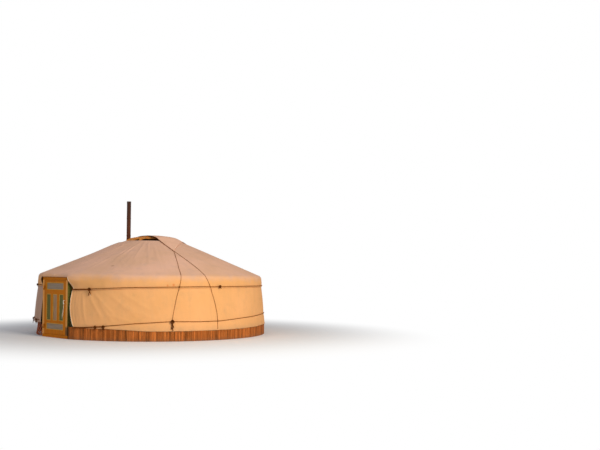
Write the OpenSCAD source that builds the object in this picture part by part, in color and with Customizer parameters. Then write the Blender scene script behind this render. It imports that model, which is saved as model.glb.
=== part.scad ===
// Felt and canvas yurt: lattice wall, roof poles, domed crown wheel, panelled door,
// reed base skirt, girth ropes and a stove pipe. Millimetres, ground at z = 0,
// the axis of the house at x = y = 0, and the door faces -Y.

/* [Wall] */
// Radius of the wall canvas at the eave, outside
eave_r = 2930; // [2700:10:3100]
// How much farther out the canvas lies at its hem than at the eave
wall_lean = 130; // [60:5:180]
// Height of the eave
eave_h = 1545; // [1450:5:1700]
// Height of the canvas hem above the ground
hem_h = 235; // [150:5:250]
// Height of the hem where the cover is raised beside the door
raised_h = 330; // [260:5:450]
// Angle of wall over which the cover is raised
raised_angle = 34; // [20:1:50]
// Thickness of the canvas
canvas_t = 6; // [3:1:8]
// Thickness of the wall felt
felt_t = 30; // [20:1:35]

/* [Lattice] */
// Width of a lath
lath_w = 32; // [20:1:40]
// Thickness of a lath
lath_t = 12; // [8:1:16]
// How deep two crossing laths are let into each other
lath_bite = 4; // [2:0.5:6]
// Laths of one direction in a panel
lath_count = 15; // [10:1:18]
// How many lath spacings a lath leans from its foot to its head
lath_lean = 5.9; // [4:0.1:7]
// Length of a pole's foot past the lattice
pole_overhang = 3; // [0:1:10]

/* [Base skirt] */
// Height of the base skirt
skirt_h = 262; // [200:2:320]
// Thickness of the base skirt
skirt_t = 22; // [10:1:24]

/* [Roof] */
// Radius of the roof canvas at the crown
crown_r = 750; // [700:5:850]
// Height of the roof canvas at the crown
crown_h = 2460; // [2300:10:2600]
// Thickness of the roof felt
roof_felt_t = 30; // [20:1:40]
// Depth of the valance below the eave
valance_h = 350; // [250:5:450]
// Roundness of the canvas at the eave
shoulder = 60; // [30:5:80]
// Diameter of a roof pole at its foot
pole_d = 44; // [34:1:50]
// Diameter of a roof pole at the crown
pole_tip_d = 30; // [20:1:34]
// Roof poles over the door
door_poles = 5; // [3:1:6]

/* [Crown] */
// Height of the crown's rim
rim_h = 95; // [70:1:120]
// Thickness of the crown's rim
rim_t = 70; // [60:1:72]
// How far the rim reaches out under the roof canvas
rim_reach = 35; // [30:1:45]
// Rise of the crown's spokes above the rim
dome_rise = 160; // [120:2:200]
// Width of the two main bars
main_bar_w = 60; // [40:1:80]
// Width of the lesser bars
bar_w = 30; // [20:1:40]
// Depth of the bars
bar_t = 60; // [40:1:64]
// Radius of the middle ring
ring_r = 350; // [250:5:420]
// Width of the middle ring
ring_w = 36; // [24:1:50]
// Diameter of the hub
hub_d = 210; // [150:5:260]
// How much thicker the hub is than the bars
hub_extra = 12; // [6:1:30]
// Half the diagonal of the folded crown flap
flap_reach = 1420; // [1200:5:1500]
// Turn of the flap's fold from the X axis
flap_turn = -7.5; // [-25:0.5:10]
// How far the fold lies on the door's side of the axis
flap_shift = 245; // [0:5:300]

/* [Door] */
// Width of the door frame
frame_w = 1100; // [950:10:1200]
// How far the frame's top lies below the eave
frame_drop = 67; // [65:1:110]
// Depth of the door frame
frame_d = 130; // [100:5:150]
// How far the frame's front stands back from the canvas hem
frame_back_step = 75; // [50:5:100]
// Gap between the frame and the base skirt
skirt_gap = 30; // [15:1:50]
// Gap between the frame and the upper wall canvas
canvas_gap = 40; // [35:1:60]
// How much further the canvas is drawn back from the door at its hem
canvas_flare = 190; // [100:5:220]
// Height below which the canvas is drawn back
canvas_flare_h = 900; // [700:10:1000]
// Gap between the frame and the valance at its hem
valance_gap = 110; // [95:1:150]
// Width of a jamb
jamb_w = 75; // [50:1:90]
// Height of the lintel
lintel_h = 70; // [50:1:90]
// Height of the threshold
threshold_h = 75; // [50:1:100]
// Thickness of the door leaf
leaf_t = 42; // [36:1:55]
// Gap round the door leaf
leaf_gap = 6; // [5:0.5:10]
// Width of a stile
stile_w = 100; // [80:1:120]
// Height of the bottom rail
bottom_rail_h = 115; // [90:1:140]
// Height of the bottom panel
bottom_panel_h = 155; // [120:1:180]
// Height of the lock rail
low_rail_h = 68; // [50:1:90]
// Height of the three tall panels
tall_panel_h = 645; // [560:5:660]
// Height of the rail below the top panel
high_rail_h = 108; // [80:1:120]
// Height of the top rail
top_rail_h = 58; // [50:1:80]
// Width of a muntin
muntin_w = 92; // [70:1:100]
// Thickness of a panel
panel_t = 18; // [12:1:24]
// Width of the stop that the leaf shuts against
stop_w = 14; // [10:1:20]
// Diameter of a hinge pin
pin_d = 10; // [8:1:14]
// Diameter of a hinge barrel
barrel_d = 20; // [16:1:24]
// Height of a hinge
hinge_h = 110; // [80:5:140]
// Length of a hinge's plates
hinge_plate_l = 60; // [40:5:70]
// Thickness of a hinge's plates
hinge_plate_t = 4; // [3:0.5:5]
// Distance of the hinges from the leaf's ends
hinge_inset = 130; // [80:5:200]

// Height of the door's handle
handle_h = 100; // [80:5:160]
// Thickness of the handle
handle_d = 14; // [10:1:18]
// Share of the tall panels' height at which the handle sits
handle_rise = 0.72; // [0.4:0.01:0.9]

/* [Stove pipe] */
// Diameter of the stove pipe
pipe_d = 110; // [90:2:120]
// Wall of the stove pipe
pipe_wall = 4; // [2:0.5:6]
// Height of the pipe's top
pipe_top = 3530; // [3200:10:3700]
// Length of pipe below the crown
pipe_drop = 260; // [150:10:400]
// Gap between the stove pipe and the crown's rim
pipe_gap = 5; // [4:1:50]
// Direction of the pipe, from the X axis
pipe_angle = 231.7; // [225:0.1:235]
// Thickness of the plate that holds the pipe
plate_t = 4; // [2:0.5:6]
// Height of the collar round the pipe
collar_h = 60; // [40:2:80]
// How far the plate reaches past the pipe, towards the axis
plate_in = 45; // [30:5:80]
// How far the plate's outer edge lies inside the rim's
plate_back = 25; // [20:1:50]
// Half the angle that the plate covers
plate_angle = 13; // [8:0.5:13.5]

/* [Columns] */
// Thickness of a column
column_d = 90; // [70:2:110]
// Width of a column's foot
foot_w = 180; // [140:5:220]
// Length of a column's bracket
bracket_l = 460; // [300:10:520]
// Height of a column's bracket
bracket_h = 90; // [60:5:120]
// Height of a column's foot
foot_h = 60; // [40:5:90]

/* [Ropes] */
// Diameter of the girth ropes
rope_d = 16; // [10:1:20]
// How far the upper girth rope starts below the eave
upper_rope_drop = 310; // [300:1:320]
// How far the lower girth rope starts above the canvas hem
lower_rope_rise = 115; // [105:1:145]
// Diameter of the flap's ropes
flap_rope_d = 12; // [8:1:16]

/* [Hidden] */

// Clearance between pieces that lie on each other
seat = 0.3;
// Clearance between wide round layers
lay = 0.8;
// Facets on round pieces
$fn = 48;
panels = 5;
skirts = 4;
roof_sectors = 4;
big = 4000;
// Angle left between neighbouring felts, skirts and roof sectors
joint_angle = 0.02;
// Direction of the door from the X axis, where the way round the house starts and ends
round_start = -90;
round_end = round_start + 360;

// The wall as a cone
hem_r = eave_r + wall_lean;
upper_rope_h = eave_h - upper_rope_drop;
lower_rope_h = hem_h + lower_rope_rise;
wall_slope = wall_lean / (eave_h - hem_h);
function wall_r(z) = eave_r + (eave_h - z) * wall_slope;
function lerp(a, b, u) = a + (b - a) * u;
function polar(r, a, z) = [r * cos(a), r * sin(a), z];
function reversed(list) = [for (i = [len(list) - 1:-1:0]) list[i]];

// The roof as a cone over the valance, both outside the wall canvas
cover_r = eave_r + canvas_t + lay;
pitch = atan2(crown_h - eave_h, cover_r - crown_r);
function roof_z(r) = eave_h + (cover_r - r) * tan(pitch);
// Height of the surface that lies the given depth inside the roof canvas
function under_roof_z(r, depth) = roof_z(r) - depth / cos(pitch);

// Section of the roof's cover from the crown to the valance, at a depth inside the canvas;
// the eave is rounded, less so for the inner layers
eave_turn = 90 - pitch - atan(wall_slope);
eave_steps = 6;
function cover_corner(depth) = let (r = cover_r - depth) [r, under_roof_z(r, depth)];
function cover_round(depth) = shoulder - depth * tan(eave_turn / 2);
function cover_edge_z(depth) = cover_corner(depth)[1] - cover_round(depth);
function cover_curve(depth, inner_r) =
    let (c = cover_corner(depth),
         a = c + cover_round(depth) * [-cos(pitch), sin(pitch)],
         b = c + cover_round(depth) * [wall_slope, -1])
    concat([[inner_r, under_roof_z(inner_r, depth)]],
        [for (i = [0:eave_steps]) let (u = i / eave_steps)
            a * pow(1 - u, 2) + c * 2 * u * (1 - u) + b * u * u]);

// Depths of the layers of the roof
felt_top = canvas_t + lay;
felt_under = felt_top + roof_felt_t;

// The door frame, its opening and the gaps in the covers beside it
frame_h = eave_h - frame_drop;
frame_y = hem_r - frame_back_step;
door_half = frame_w / 2;
opening_half = door_half - jamb_w;
leaf_w = 2 * (opening_half - leaf_gap);
leaf_low = threshold_h + leaf_gap;
leaf_top = frame_h - lintel_h - leaf_gap;
felt_half = door_half + seat;
canvas_half = door_half + canvas_gap;
function canvas_edge(z) =
    canvas_half + canvas_flare * pow(max(0, (canvas_flare_h - z) / (canvas_flare_h - hem_h)), 2);
skirt_half = door_half + skirt_gap;
valance_half = door_half + valance_gap;

// The skirt stands inside the canvas, which leans in to meet it at its upper edge
skirt_r = wall_r(skirt_h) - canvas_t - lay;

// The wall felt and the lattice inside it; the felt's foot leaves room for the skirt
felt_foot_r = skirt_r - skirt_t - lay - felt_t;
felt_head_r = eave_r - canvas_t - lay - felt_t;
felt_head_z = cover_edge_z(felt_under) - lay;

// The poles' feet end where the felt's eave begins to bend down
pole_foot_r = cover_corner(felt_under)[0] - cover_round(felt_under) * cos(pitch) - pole_d / 2 * sin(pitch);
lattice_head_r = pole_foot_r - pole_overhang;
lattice_foot_r = felt_foot_r - lay;
lattice_h = under_roof_z(lattice_head_r, felt_under + lay + pole_d) - seat;
lattice_start = asin((felt_half + 1.5 * lath_w) / lattice_head_r);
panel_gap_bays = 0.4;
panel_bays = lath_count + panel_gap_bays;
bay_angle = (360 - 2 * lattice_start) / (panels * panel_bays - panel_gap_bays);
head_phase = 0.4;

// The crown
rim_out = crown_r + rim_reach;
rim_in = rim_out - rim_t;
// The canvas lies on the rim's outer edge
rim_top = under_roof_z(rim_out, canvas_t) - lay;
rim_low = rim_top - rim_h;
// The rim is bevelled below, where the poles' tips come in
rim_bevel = rim_h / 4;
// The spokes end a little inside the canvas
dome_gap = 4;
dome_r = crown_r - canvas_t - dome_gap;
dome_power = 2.2;
function dome_z(r, r_max, rise) =
    rim_top + rise * pow(max(0, 1 - pow(min(1, r / r_max), dome_power)), 1 / dome_power);

// The pipe stands inside the rim
pipe_r = rim_in - pipe_d / 2 - pipe_gap;
pipe_x = pipe_r * cos(pipe_angle);
pipe_y = pipe_r * sin(pipe_angle);

// The cover is raised from here to the door
raised_start = round_end - asin(door_half / hem_r) - raised_angle;

module sector(a0, a1) {
    rotate([0, 0, a0]) rotate_extrude(angle = a1 - a0, $fn = 180) children();
}

// A block through the wall at the door, from the ground up
module door_block(half, top) {
    translate([-half, -big, -big]) cube([2 * half, big - eave_r / 2, big + top]);
}

module wall_shell(a0, a1) {
    sector(a0, a1) polygon([
        [felt_foot_r, 0], [felt_foot_r + felt_t, 0],
        [felt_head_r + felt_t, felt_head_z], [felt_head_r, felt_head_z]]);
}

module raised_space() {
    sector(raised_start, round_end) translate([eave_r / 2, -1]) square([big, raised_h + 1]);
}

module wall_felt(i) {
    color("#d9d2c4") difference() {
        start = round_start + asin(felt_half / felt_foot_r) - 1;
        step = (round_end + round_start - 2 * start) / panels;
        wall_shell(start + i * step + joint_angle, start + (i + 1) * step - joint_angle);
        door_block(felt_half, big);
        if (i == panels - 1) raised_space();
    }
}

module wall_canvas() {
    top = cover_edge_z(felt_top) - lay;
    flare_steps = 6;
    canvas_edges = concat([[canvas_half, eave_h]],
        [for (i = [0:flare_steps]) let (z = lerp(canvas_flare_h, hem_h - 1, i / flare_steps))
            [canvas_edge(z), z]]);
    color("#f3dcb8") difference() {
        start = asin(canvas_half / hem_r) - 1;
        sector(round_start + start, round_end - start) polygon([
            [wall_r(hem_h) - canvas_t, hem_h], [wall_r(hem_h), hem_h],
            [wall_r(top), top], [wall_r(top) - canvas_t, top]]);
        rotate([90, 0, 0]) linear_extrude(big) polygon(concat(
            [for (p = canvas_edges) p], [for (p = reversed(canvas_edges)) [-p[0], p[1]]]));
        raised_space();
    }
}

module base_skirt(i) {
    start = round_start + asin(skirt_half / hem_r) - 1;
    step = (raised_start - start) / skirts;
    color("#8a5a32") difference() {
        sector(start + i * step + joint_angle, start + (i + 1) * step - joint_angle)
            translate([skirt_r - skirt_t, 0]) square([skirt_t, skirt_h]);
        door_block(skirt_half, big);
    }
}

// One lath: a bar that bends once, at half its height, and so stands a little off the felt
lath_bow = 2.4;
// How far a lath's ends run on past the cut at the lattice's foot and head
lath_past = 20;
function lath_node(bay, dir, t, depth) =
    polar(lerp(lattice_foot_r, lattice_head_r, t) - depth,
          (bay + dir * lath_lean * t) * bay_angle, t * lattice_h);
function lath_point(bay, dir, t, depth) =
    t <= 0.5
        ? lerp(lath_node(bay, dir, 0, depth), lath_node(bay, dir, 0.5, depth), t / 0.5)
        : lerp(lath_node(bay, dir, 0.5, depth), lath_node(bay, dir, 1, depth), (t - 0.5) / 0.5);
function unit(v) = v / norm(v);

module bar(p, q, w, t, past) {
    d = unit(q - p);
    m = (p + q) / 2;
    out0 = unit([m[0], m[1], 0]);
    side = unit(cross(out0, d));
    out = cross(d, side);
    l = norm(q - p) + 2 * past;
    s = p - past * d - side * w / 2 - out * t / 2;
    multmatrix([[d[0], side[0], out[0], s[0]],
                [d[1], side[1], out[1], s[1]],
                [d[2], side[2], out[2], s[2]]])
        cube([l, w, t]);
}

module lath(bay, dir, depth) {
    // the stretch of the lath that lies inside its panel
    edge = panel_gap_bays * 0.3;
    t_a = ((dir > 0 ? -edge : lath_count + edge) - bay) / (dir * lath_lean);
    t_b = ((dir > 0 ? lath_count + edge : -edge) - bay) / (dir * lath_lean);
    t0 = max(0, t_a);
    t1 = min(1, t_b);
    short = 0.03;
    if (min(t1, 0.5) - t0 > short)
        bar(lath_point(bay, dir, t0, depth), lath_point(bay, dir, min(t1, 0.5), depth),
            lath_w, lath_t, t0 > 0 ? 0 : lath_past);
    if (t1 - max(t0, 0.5) > short)
        bar(lath_point(bay, dir, max(t0, 0.5), depth), lath_point(bay, dir, t1, depth),
            lath_w, lath_t, t1 < 1 ? 0 : lath_past);
}

module lattice_wall(i) {
    extra = ceil(lath_lean);
    color("#c4552b") rotate([0, 0, round_start + lattice_start + i * panel_bays * bay_angle])
        intersection() {
            union() {
                for (k = [-extra:lath_count])
                    lath(k, 1, lath_bow + lath_t / 2);
                for (k = [0:lath_count + extra])
                    lath(k + head_phase, -1, lath_bow + lath_t * 1.5 - lath_bite);
            }
            translate([0, -big, 0]) cube([big, 2 * big, lattice_h]);
        }
}

// Angles of the lattice's heads, where the poles stand
top_cross = floor(2 * lath_lean - head_phase) + head_phase;
function head_angle(panel, k) =
    round_start + lattice_start + (panel * panel_bays + k + (top_cross / 2) % 1) * bay_angle;
last_head = head_angle(panels - 1, lath_count - 1);
first_head = head_angle(0, 0) + 360;

module pole(a) {
    foot = [pole_foot_r, under_roof_z(pole_foot_r, felt_under + lay + pole_d / 2)];
    tip_r = rim_out + seat + pole_tip_d / 2 * sin(pitch);
    tip = [tip_r, under_roof_z(tip_r, felt_under + lay + pole_tip_d / 2)];
    l = norm(tip - foot);
    lean = atan2(foot[0] - tip[0], tip[1] - foot[1]);
    rotate([0, 0, a]) translate([foot[0], 0, foot[1]]) rotate([0, -lean, 0])
        cylinder(h = l, d1 = pole_d, d2 = pole_tip_d, $fn = 24);
}

module roof_poles(i) {
    color("#c9622f") {
        for (k = [0:lath_count - 1]) pole(head_angle(i, k));
        if (i == panels - 1)
            for (k = [1:door_poles])
                pole(lerp(last_head, first_head, k / (door_poles + 1)));
    }
}

module roof_felt(i) {
    inner = rim_out + lay;
    step = 360 / roof_sectors;
    color("#d9d2c4")
        sector(round_start + (i + 0.5) * step + joint_angle, round_start + (i + 1.5) * step - joint_angle)
            polygon(concat(cover_curve(felt_top, inner), reversed(cover_curve(felt_under, inner))));
}

// The valance is cut away over the door, a little above the frame
head_gap = 8;
module roof_canvas() {
    outer = cover_curve(0, crown_r - canvas_t);
    inner = cover_curve(canvas_t, crown_r - canvas_t);
    hem_z = eave_h - valance_h;
    hem = [cover_r + (eave_h - hem_z) * wall_slope, hem_z];
    color("#ead3bd") difference() {
        rotate_extrude($fn = 180) polygon(concat(outer, [hem, hem - [canvas_t, 0]], reversed(inner)));
        rotate([90, 0, 0]) linear_extrude(big) polygon([
            [-valance_half, hem_z - 10], [valance_half, hem_z - 10],
            [felt_half, frame_h + head_gap], [-felt_half, frame_h + head_gap]]);
    }
}

module crown_rim() {
    lean = rim_bevel * tan(pitch);
    color("#c9622f") rotate_extrude($fn = 180) polygon([
        [rim_in, rim_low], [rim_out - lean, rim_low], [rim_out, rim_low + rim_bevel],
        [rim_out, rim_top], [rim_in, rim_top]]);
}

// A bar of the crown that arches over from rim to rim
module arch(w) {
    steps = 24;
    r0 = dome_r;
    r1 = dome_r - bar_t;
    rise = dome_rise;
    rotate([90, 0, 0]) translate([0, 0, -w / 2]) linear_extrude(w) polygon(concat(
        [for (i = [0:steps]) let (a = 180 * i / steps, r = r0 * cos(a)) [r, dome_z(abs(r), r0, rise)]],
        [for (i = [steps:-1:0]) let (a = 180 * i / steps, r = r1 * cos(a))
            [r, dome_z(abs(r), r1, rise - bar_t)]]));
}

// The hub is a little thicker than the bars and stands a little above them
hub_t = bar_t + hub_extra;
hub_rise = 5.2;
// The ring lies a little below the bars' tops and falls outwards with the dome
ring_sink = 4;
ring_fall = 8;
module crown_spokes() {
    color("#d0702f") translate([0, 0, seat]) difference() {
        union() {
            for (a = [0, 90]) rotate([0, 0, a]) arch(main_bar_w);
            for (a = [22.5:45:157.5]) rotate([0, 0, a]) arch(bar_w);
            rotate_extrude($fn = 96) polygon([
                [ring_r - ring_w / 2, dome_z(ring_r, dome_r, dome_rise) - bar_t],
                [ring_r + ring_w / 2, dome_z(ring_r, dome_r, dome_rise) - bar_t - ring_fall],
                [ring_r + ring_w / 2, dome_z(ring_r, dome_r, dome_rise) - ring_sink - ring_fall],
                [ring_r - ring_w / 2, dome_z(ring_r, dome_r, dome_rise) - ring_sink]]);
            translate([0, 0, rim_top + dome_rise - hub_t]) cylinder(h = hub_t + hub_rise, d = hub_d);
        }
        translate([0, 0, rim_top - big]) cube([2 * big, 2 * big, 2 * big], center = true);
    }
}

// The folded flap: a triangle with its long side along the fold. It lies on the spokes,
// then comes down to the roof; its facets bow inwards, so its points lie a little higher
flap_t = 2 * canvas_t;
flap_steps = 30;
// The flap leaves the spokes at this share of the dome and meets the roof this far outside the rim
flap_leaves = 0.86;
flap_meets = 95;
flap_inner = dome_r * flap_leaves;
flap_outer = rim_out + flap_meets;
function facet_bow(r) = pow(2 * flap_reach / flap_steps, 2) / 8 / max(r, ring_r);
function flap_low(r) = lay + seat + 2 * facet_bow(r) +
    (r < flap_inner ? dome_z(r, dome_r, dome_rise)
        : r < flap_outer
            ? lerp(dome_z(flap_inner, dome_r, dome_rise), roof_z(flap_outer),
                   (r - flap_inner) / (flap_outer - flap_inner))
            : roof_z(r));

module crown_flap() {
    n = flap_steps;
    f = flap_reach * [cos(flap_turn), sin(flap_turn)];
    across = [-sin(flap_turn), cos(flap_turn)];
    b = flap_reach * across;
    // rows from the fold to the back corner, each one point shorter
    function first(i) = i * (n + 1) - i * (i - 1) / 2;
    flat = [for (i = [0:n]) for (j = [0:n - i])
        let (u = n == i ? 0.5 : j / (n - i), v = i / n)
        lerp(lerp(f, -f, u), b, v) - flap_shift * across];
    low = [for (p = flat) [p[0], p[1], flap_low(norm(p))]];
    high = [for (p = low) p + [0, 0, flap_t]];
    m = len(flat);
    edge = concat([for (j = [0:n]) j], [for (i = [1:n]) first(i) + n - i],
                  [for (i = [n - 1:-1:1]) first(i)]);
    e = len(edge);
    up = [for (i = [0:n - 1]) for (j = [0:n - i - 1])
        [first(i) + j, first(i + 1) + j, first(i) + j + 1]];
    down = [for (i = [0:n - 2]) for (j = [0:n - i - 2])
        [first(i) + j + 1, first(i + 1) + j, first(i + 1) + j + 1]];
    under = concat(up, down);
    color("#efd9c6") polyhedron(points = concat(low, high), faces = concat(
        under,
        [for (t = under) [t[0] + m, t[2] + m, t[1] + m]],
        [for (k = [0:e - 1]) let (a = edge[k], c = edge[(k + 1) % e]) [a, c, c + m]],
        [for (k = [0:e - 1]) let (a = edge[k], c = edge[(k + 1) % e]) [a, c + m, a + m]]));
}

module stove_pipe() {
    color("#5f3a2a") translate([pipe_x, pipe_y, rim_low - pipe_drop])
        difference() {
            cylinder(h = pipe_top - rim_low + pipe_drop, d = pipe_d);
            translate([0, 0, -1]) cylinder(h = big, d = pipe_d - 2 * pipe_wall);
        }
}

module pipe_plate() {
    inner = pipe_r - pipe_d / 2 - plate_in;
    color("#6e6257") translate([0, 0, rim_top + seat]) difference() {
        union() {
            sector(pipe_angle - plate_angle, pipe_angle + plate_angle)
                translate([inner, 0]) square([rim_out - plate_back - inner, plate_t]);
            translate([pipe_x, pipe_y, 0]) cylinder(h = collar_h, d = pipe_d + 2 * seat + 2 * plate_t);
        }
        translate([pipe_x, pipe_y, -1]) cylinder(h = big, d = pipe_d + 2 * seat);
    }
}

// A column has a thicker band above its middle, and its bracket's ends are cut back
band_h = 60;
band_rise = 0.55;
bracket_end = 0.55;
module column(side) {
    x = side * (rim_in + rim_t / 2);
    cap = rim_low - seat - bracket_h;
    color("#b5522c") translate([x, 0, 0]) union() {
        translate([-foot_w / 2, -foot_w / 2, 0]) cube([foot_w, foot_w, foot_h]);
        cylinder(h = cap + 5, d = column_d);
        translate([0, 0, cap * band_rise]) cylinder(h = band_h, d = column_d * 1.3);
        translate([column_d * 0.4, 0, 0]) rotate([90, 0, -90])
            linear_extrude(column_d * 0.8) polygon([
                [-bracket_l / 2, cap + bracket_h], [-bracket_l / 2, cap + bracket_h * bracket_end],
                [-column_d / 2, cap], [column_d / 2, cap],
                [bracket_l / 2, cap + bracket_h * bracket_end], [bracket_l / 2, cap + bracket_h]]);
    }
}

// The door frame: threshold, jambs and lintel
stop_y = -frame_y + leaf_t + leaf_gap;
frame_back = -frame_y + frame_d;

module door_threshold() {
    color("#a8672a") translate([-door_half, -frame_y, 0]) cube([frame_w, frame_d, threshold_h]);
}

module door_jamb(side) {
    h = frame_h - lintel_h - threshold_h;
    color("#d8a860") translate([0, 0, threshold_h]) mirror([side > 0 ? 0 : 1, 0, 0]) union() {
        translate([opening_half, -frame_y, 0]) cube([jamb_w, frame_d, h]);
        translate([opening_half - stop_w, stop_y, 0]) cube([stop_w + 1, frame_back - stop_y, h]);
    }
}

module door_lintel() {
    color("#b8752c") translate([0, 0, frame_h - lintel_h]) union() {
        translate([-door_half, -frame_y, 0]) cube([frame_w, frame_d, lintel_h]);
        translate([-opening_half + stop_w, stop_y, -stop_w])
            cube([2 * (opening_half - stop_w), frame_back - stop_y, stop_w + 1]);
    }
}

// The door leaf, with its front face level with the frame's
leaf_y = -frame_y;
panel_y = leaf_y + (leaf_t - panel_t) / 2;
inner_half = leaf_w / 2 - stile_w;
tall_w = (2 * inner_half - 2 * muntin_w) / 3;
z_bottom_panel = leaf_low + bottom_rail_h;
z_low_rail = z_bottom_panel + bottom_panel_h;
z_tall = z_low_rail + low_rail_h;
z_high_rail = z_tall + tall_panel_h;
z_top_panel = z_high_rail + high_rail_h;
top_panel_h = leaf_top - top_rail_h - z_top_panel;

module leaf_hole(x, z, w, h) {
    translate([x, leaf_y - 1, z]) cube([w, leaf_t + 2, h]);
}

module leaf_panel(x, z, w, h) {
    translate([x + seat, panel_y, z + seat]) cube([w - 2 * seat, panel_t, h - 2 * seat]);
}

module leaf_frame() {
    color("#b06f22") difference() {
        translate([-leaf_w / 2, leaf_y, leaf_low]) cube([leaf_w, leaf_t, leaf_top - leaf_low]);
        leaf_hole(-inner_half, z_bottom_panel, 2 * inner_half, bottom_panel_h);
        leaf_hole(-inner_half, z_top_panel, 2 * inner_half, top_panel_h);
        for (k = [0:2])
            leaf_hole(-inner_half + k * (tall_w + muntin_w), z_tall, tall_w, tall_panel_h);
    }
}

module top_panel() {
    color("#8fa3a8") leaf_panel(-inner_half, z_top_panel, 2 * inner_half, top_panel_h);
}

module bottom_panel() {
    color("#8fa08f") leaf_panel(-inner_half, z_bottom_panel, 2 * inner_half, bottom_panel_h);
}

module centre_panel() {
    color("#a59c95") leaf_panel(-tall_w / 2, z_tall, tall_w, tall_panel_h);
}

module side_panels() {
    color("#4d6b3c") for (x = [-inner_half, inner_half - tall_w])
        leaf_panel(x, z_tall, tall_w, tall_panel_h);
}

// Hinges: a barrel on the leaf turns on a pin that stands on the jamb
hinge_x = -opening_half + leaf_gap / 2;
hinge_y = -frame_y - barrel_d / 2 - seat;
hinge_zs = [leaf_low + hinge_inset, leaf_top - hinge_inset - hinge_h];
barrel_low = hinge_h * 0.35;
turn_gap = 1;
pin_play = 0.1;

module hinge_pins() {
    color("#4a3c33") for (z = hinge_zs) translate([hinge_x, hinge_y, z]) union() {
        cylinder(h = barrel_low - turn_gap, d = barrel_d);
        cylinder(h = hinge_h, d = pin_d);
        translate([-hinge_plate_l, barrel_d / 2 - hinge_plate_t, 0])
            cube([hinge_plate_l, hinge_plate_t, barrel_low - turn_gap]);
    }
}

module leaf_hinges() {
    color("#4a3c33") for (z = hinge_zs) translate([hinge_x, hinge_y, z + barrel_low]) difference() {
        union() {
            cylinder(h = hinge_h - barrel_low, d = barrel_d);
            translate([0, barrel_d / 2 - hinge_plate_t, 0])
                cube([hinge_plate_l, hinge_plate_t, hinge_h - barrel_low]);
        }
        translate([0, 0, -1]) cylinder(h = hinge_h + 2, d = pin_d + pin_play);
    }
}

// The handle stands this far off the leaf
handle_off = 2 * handle_d;
// Its two posts stand this much closer together than it is long
post_inset = 20;
module door_handle() {
    x = leaf_w / 2 - stile_w / 2;
    z = z_tall + tall_panel_h * handle_rise;
    color("#d9d3c4") translate([x, leaf_y - seat, z]) union() {
        for (dz = [-0.5, 0.5])
            translate([0, 0, dz * (handle_h - post_inset)]) rotate([90, 0, 0])
                cylinder(h = handle_off, d = handle_d);
        translate([0, -handle_off, -handle_h / 2]) cylinder(h = handle_h, d = handle_d + 2);
    }
}

// How far the upper rope's ends reach past the valance's edges
upper_rope_reach = 20;
// How far the lower rope's ends lie from the canvas's edges
lower_rope_inset = 40;
rope_steps = 80;
rope_sides = 6;
// A rope's chords bow inwards, so its path lies a little further out, and one of
// its flat sides lies on the cover
bow = 1 / cos(180 / rope_steps);
flat = cos(180 / rope_sides);

// A rope swept along points that lie on the covers
module sweep(path, d) {
    n = len(path);
    sides = rope_sides;
    rings = [for (i = [0:n - 1])
        let (t = unit(path[min(n - 1, i + 1)] - path[max(0, i - 1)]),
             o = unit([path[i][0], path[i][1], 1]),
             s = unit(cross(t, o)), q = cross(s, t))
        for (k = [0:sides - 1]) path[i] + (s * cos(360 * k / sides) + q * sin(360 * k / sides)) * d / 2];
    polyhedron(points = rings, faces = concat(
        [[for (k = [0:sides - 1]) sides - 1 - k]],
        [[for (k = [0:sides - 1]) (n - 1) * sides + k]],
        [for (i = [0:n - 2]) for (k = [0:sides - 1]) let (k1 = (k + 1) % sides)
            [i * sides + k, i * sides + k1, (i + 1) * sides + k1]],
        [for (i = [0:n - 2]) for (k = [0:sides - 1]) let (k1 = (k + 1) % sides)
            [i * sides + k, (i + 1) * sides + k1, (i + 1) * sides + k]]));
}

function round_wall(half, u) = let (a = asin(half / hem_r)) lerp(round_start + a, round_end - a, u);

// How much each rope climbs on its way round, as [angle, rise]
upper_climb = [[-90, -30], [-67, 0], [-48, 30], [-25, 50], [39, 85], [150, 85], [240, 55], [270, 35]];
lower_climb = [[-79, -45], [-67, -10], [-48, 78], [-35, 120], [-6, 115], [38, 203], [120, 205],
               [200, 120], [236, 70], [270, 40]];
function upper_rope_z(a) = upper_rope_h + lookup(a, upper_climb);
function lower_rope_z(a) = lower_rope_h + lookup(a, lower_climb);

function upper_rope_point(u) =
    let (a = round_wall(valance_half - upper_rope_reach, u), z = upper_rope_z(a))
    polar((cover_r + (eave_h - z) * wall_slope + rope_d / 2 * flat + seat) * bow, a, z);
module upper_rope() {
    color("#5a3a22") sweep([for (i = [0:rope_steps]) upper_rope_point(i / rope_steps)], rope_d);
}

function lower_rope_point(u) =
    let (a = round_wall(canvas_edge(lower_rope_h) + lower_rope_inset, u), z = lower_rope_z(a))
    polar((wall_r(z) + rope_d / 2 * flat + seat) * bow, a, z);
module lower_rope() {
    color("#5a3a22") sweep([for (i = [0:rope_steps]) lower_rope_point(i / rope_steps)], rope_d);
}

// The flap's ropes run down the roof as [angle, share of the roof], round the eave
// and down the wall as [angle, height]
rope_off = flap_rope_d / 2 + lay;
function on_roof(a, u) = let (r = lerp(crown_r, cover_r, u))
    polar(r + rope_off * sin(pitch), a, roof_z(r) + rope_off * cos(pitch));
function on_eave(a) =
    [for (k = [1:eave_steps + 1]) let (p = cover_curve(-rope_off, crown_r)[k]) polar(p[0], a, p[1])];
// A flap rope rises over a girth rope with this much room, within this much height
over_gap = 2;
over_span = 45;
function over(z, h) = (rope_d + 2 * seat + over_gap) * exp(-pow((z - h) / over_span, 2));
function on_wall(a, z) =
    polar(cover_r + (eave_h - z) * wall_slope + rope_off + over(z, upper_rope_z(a)) + over(z, lower_rope_z(a)),
          a, z);

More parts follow.
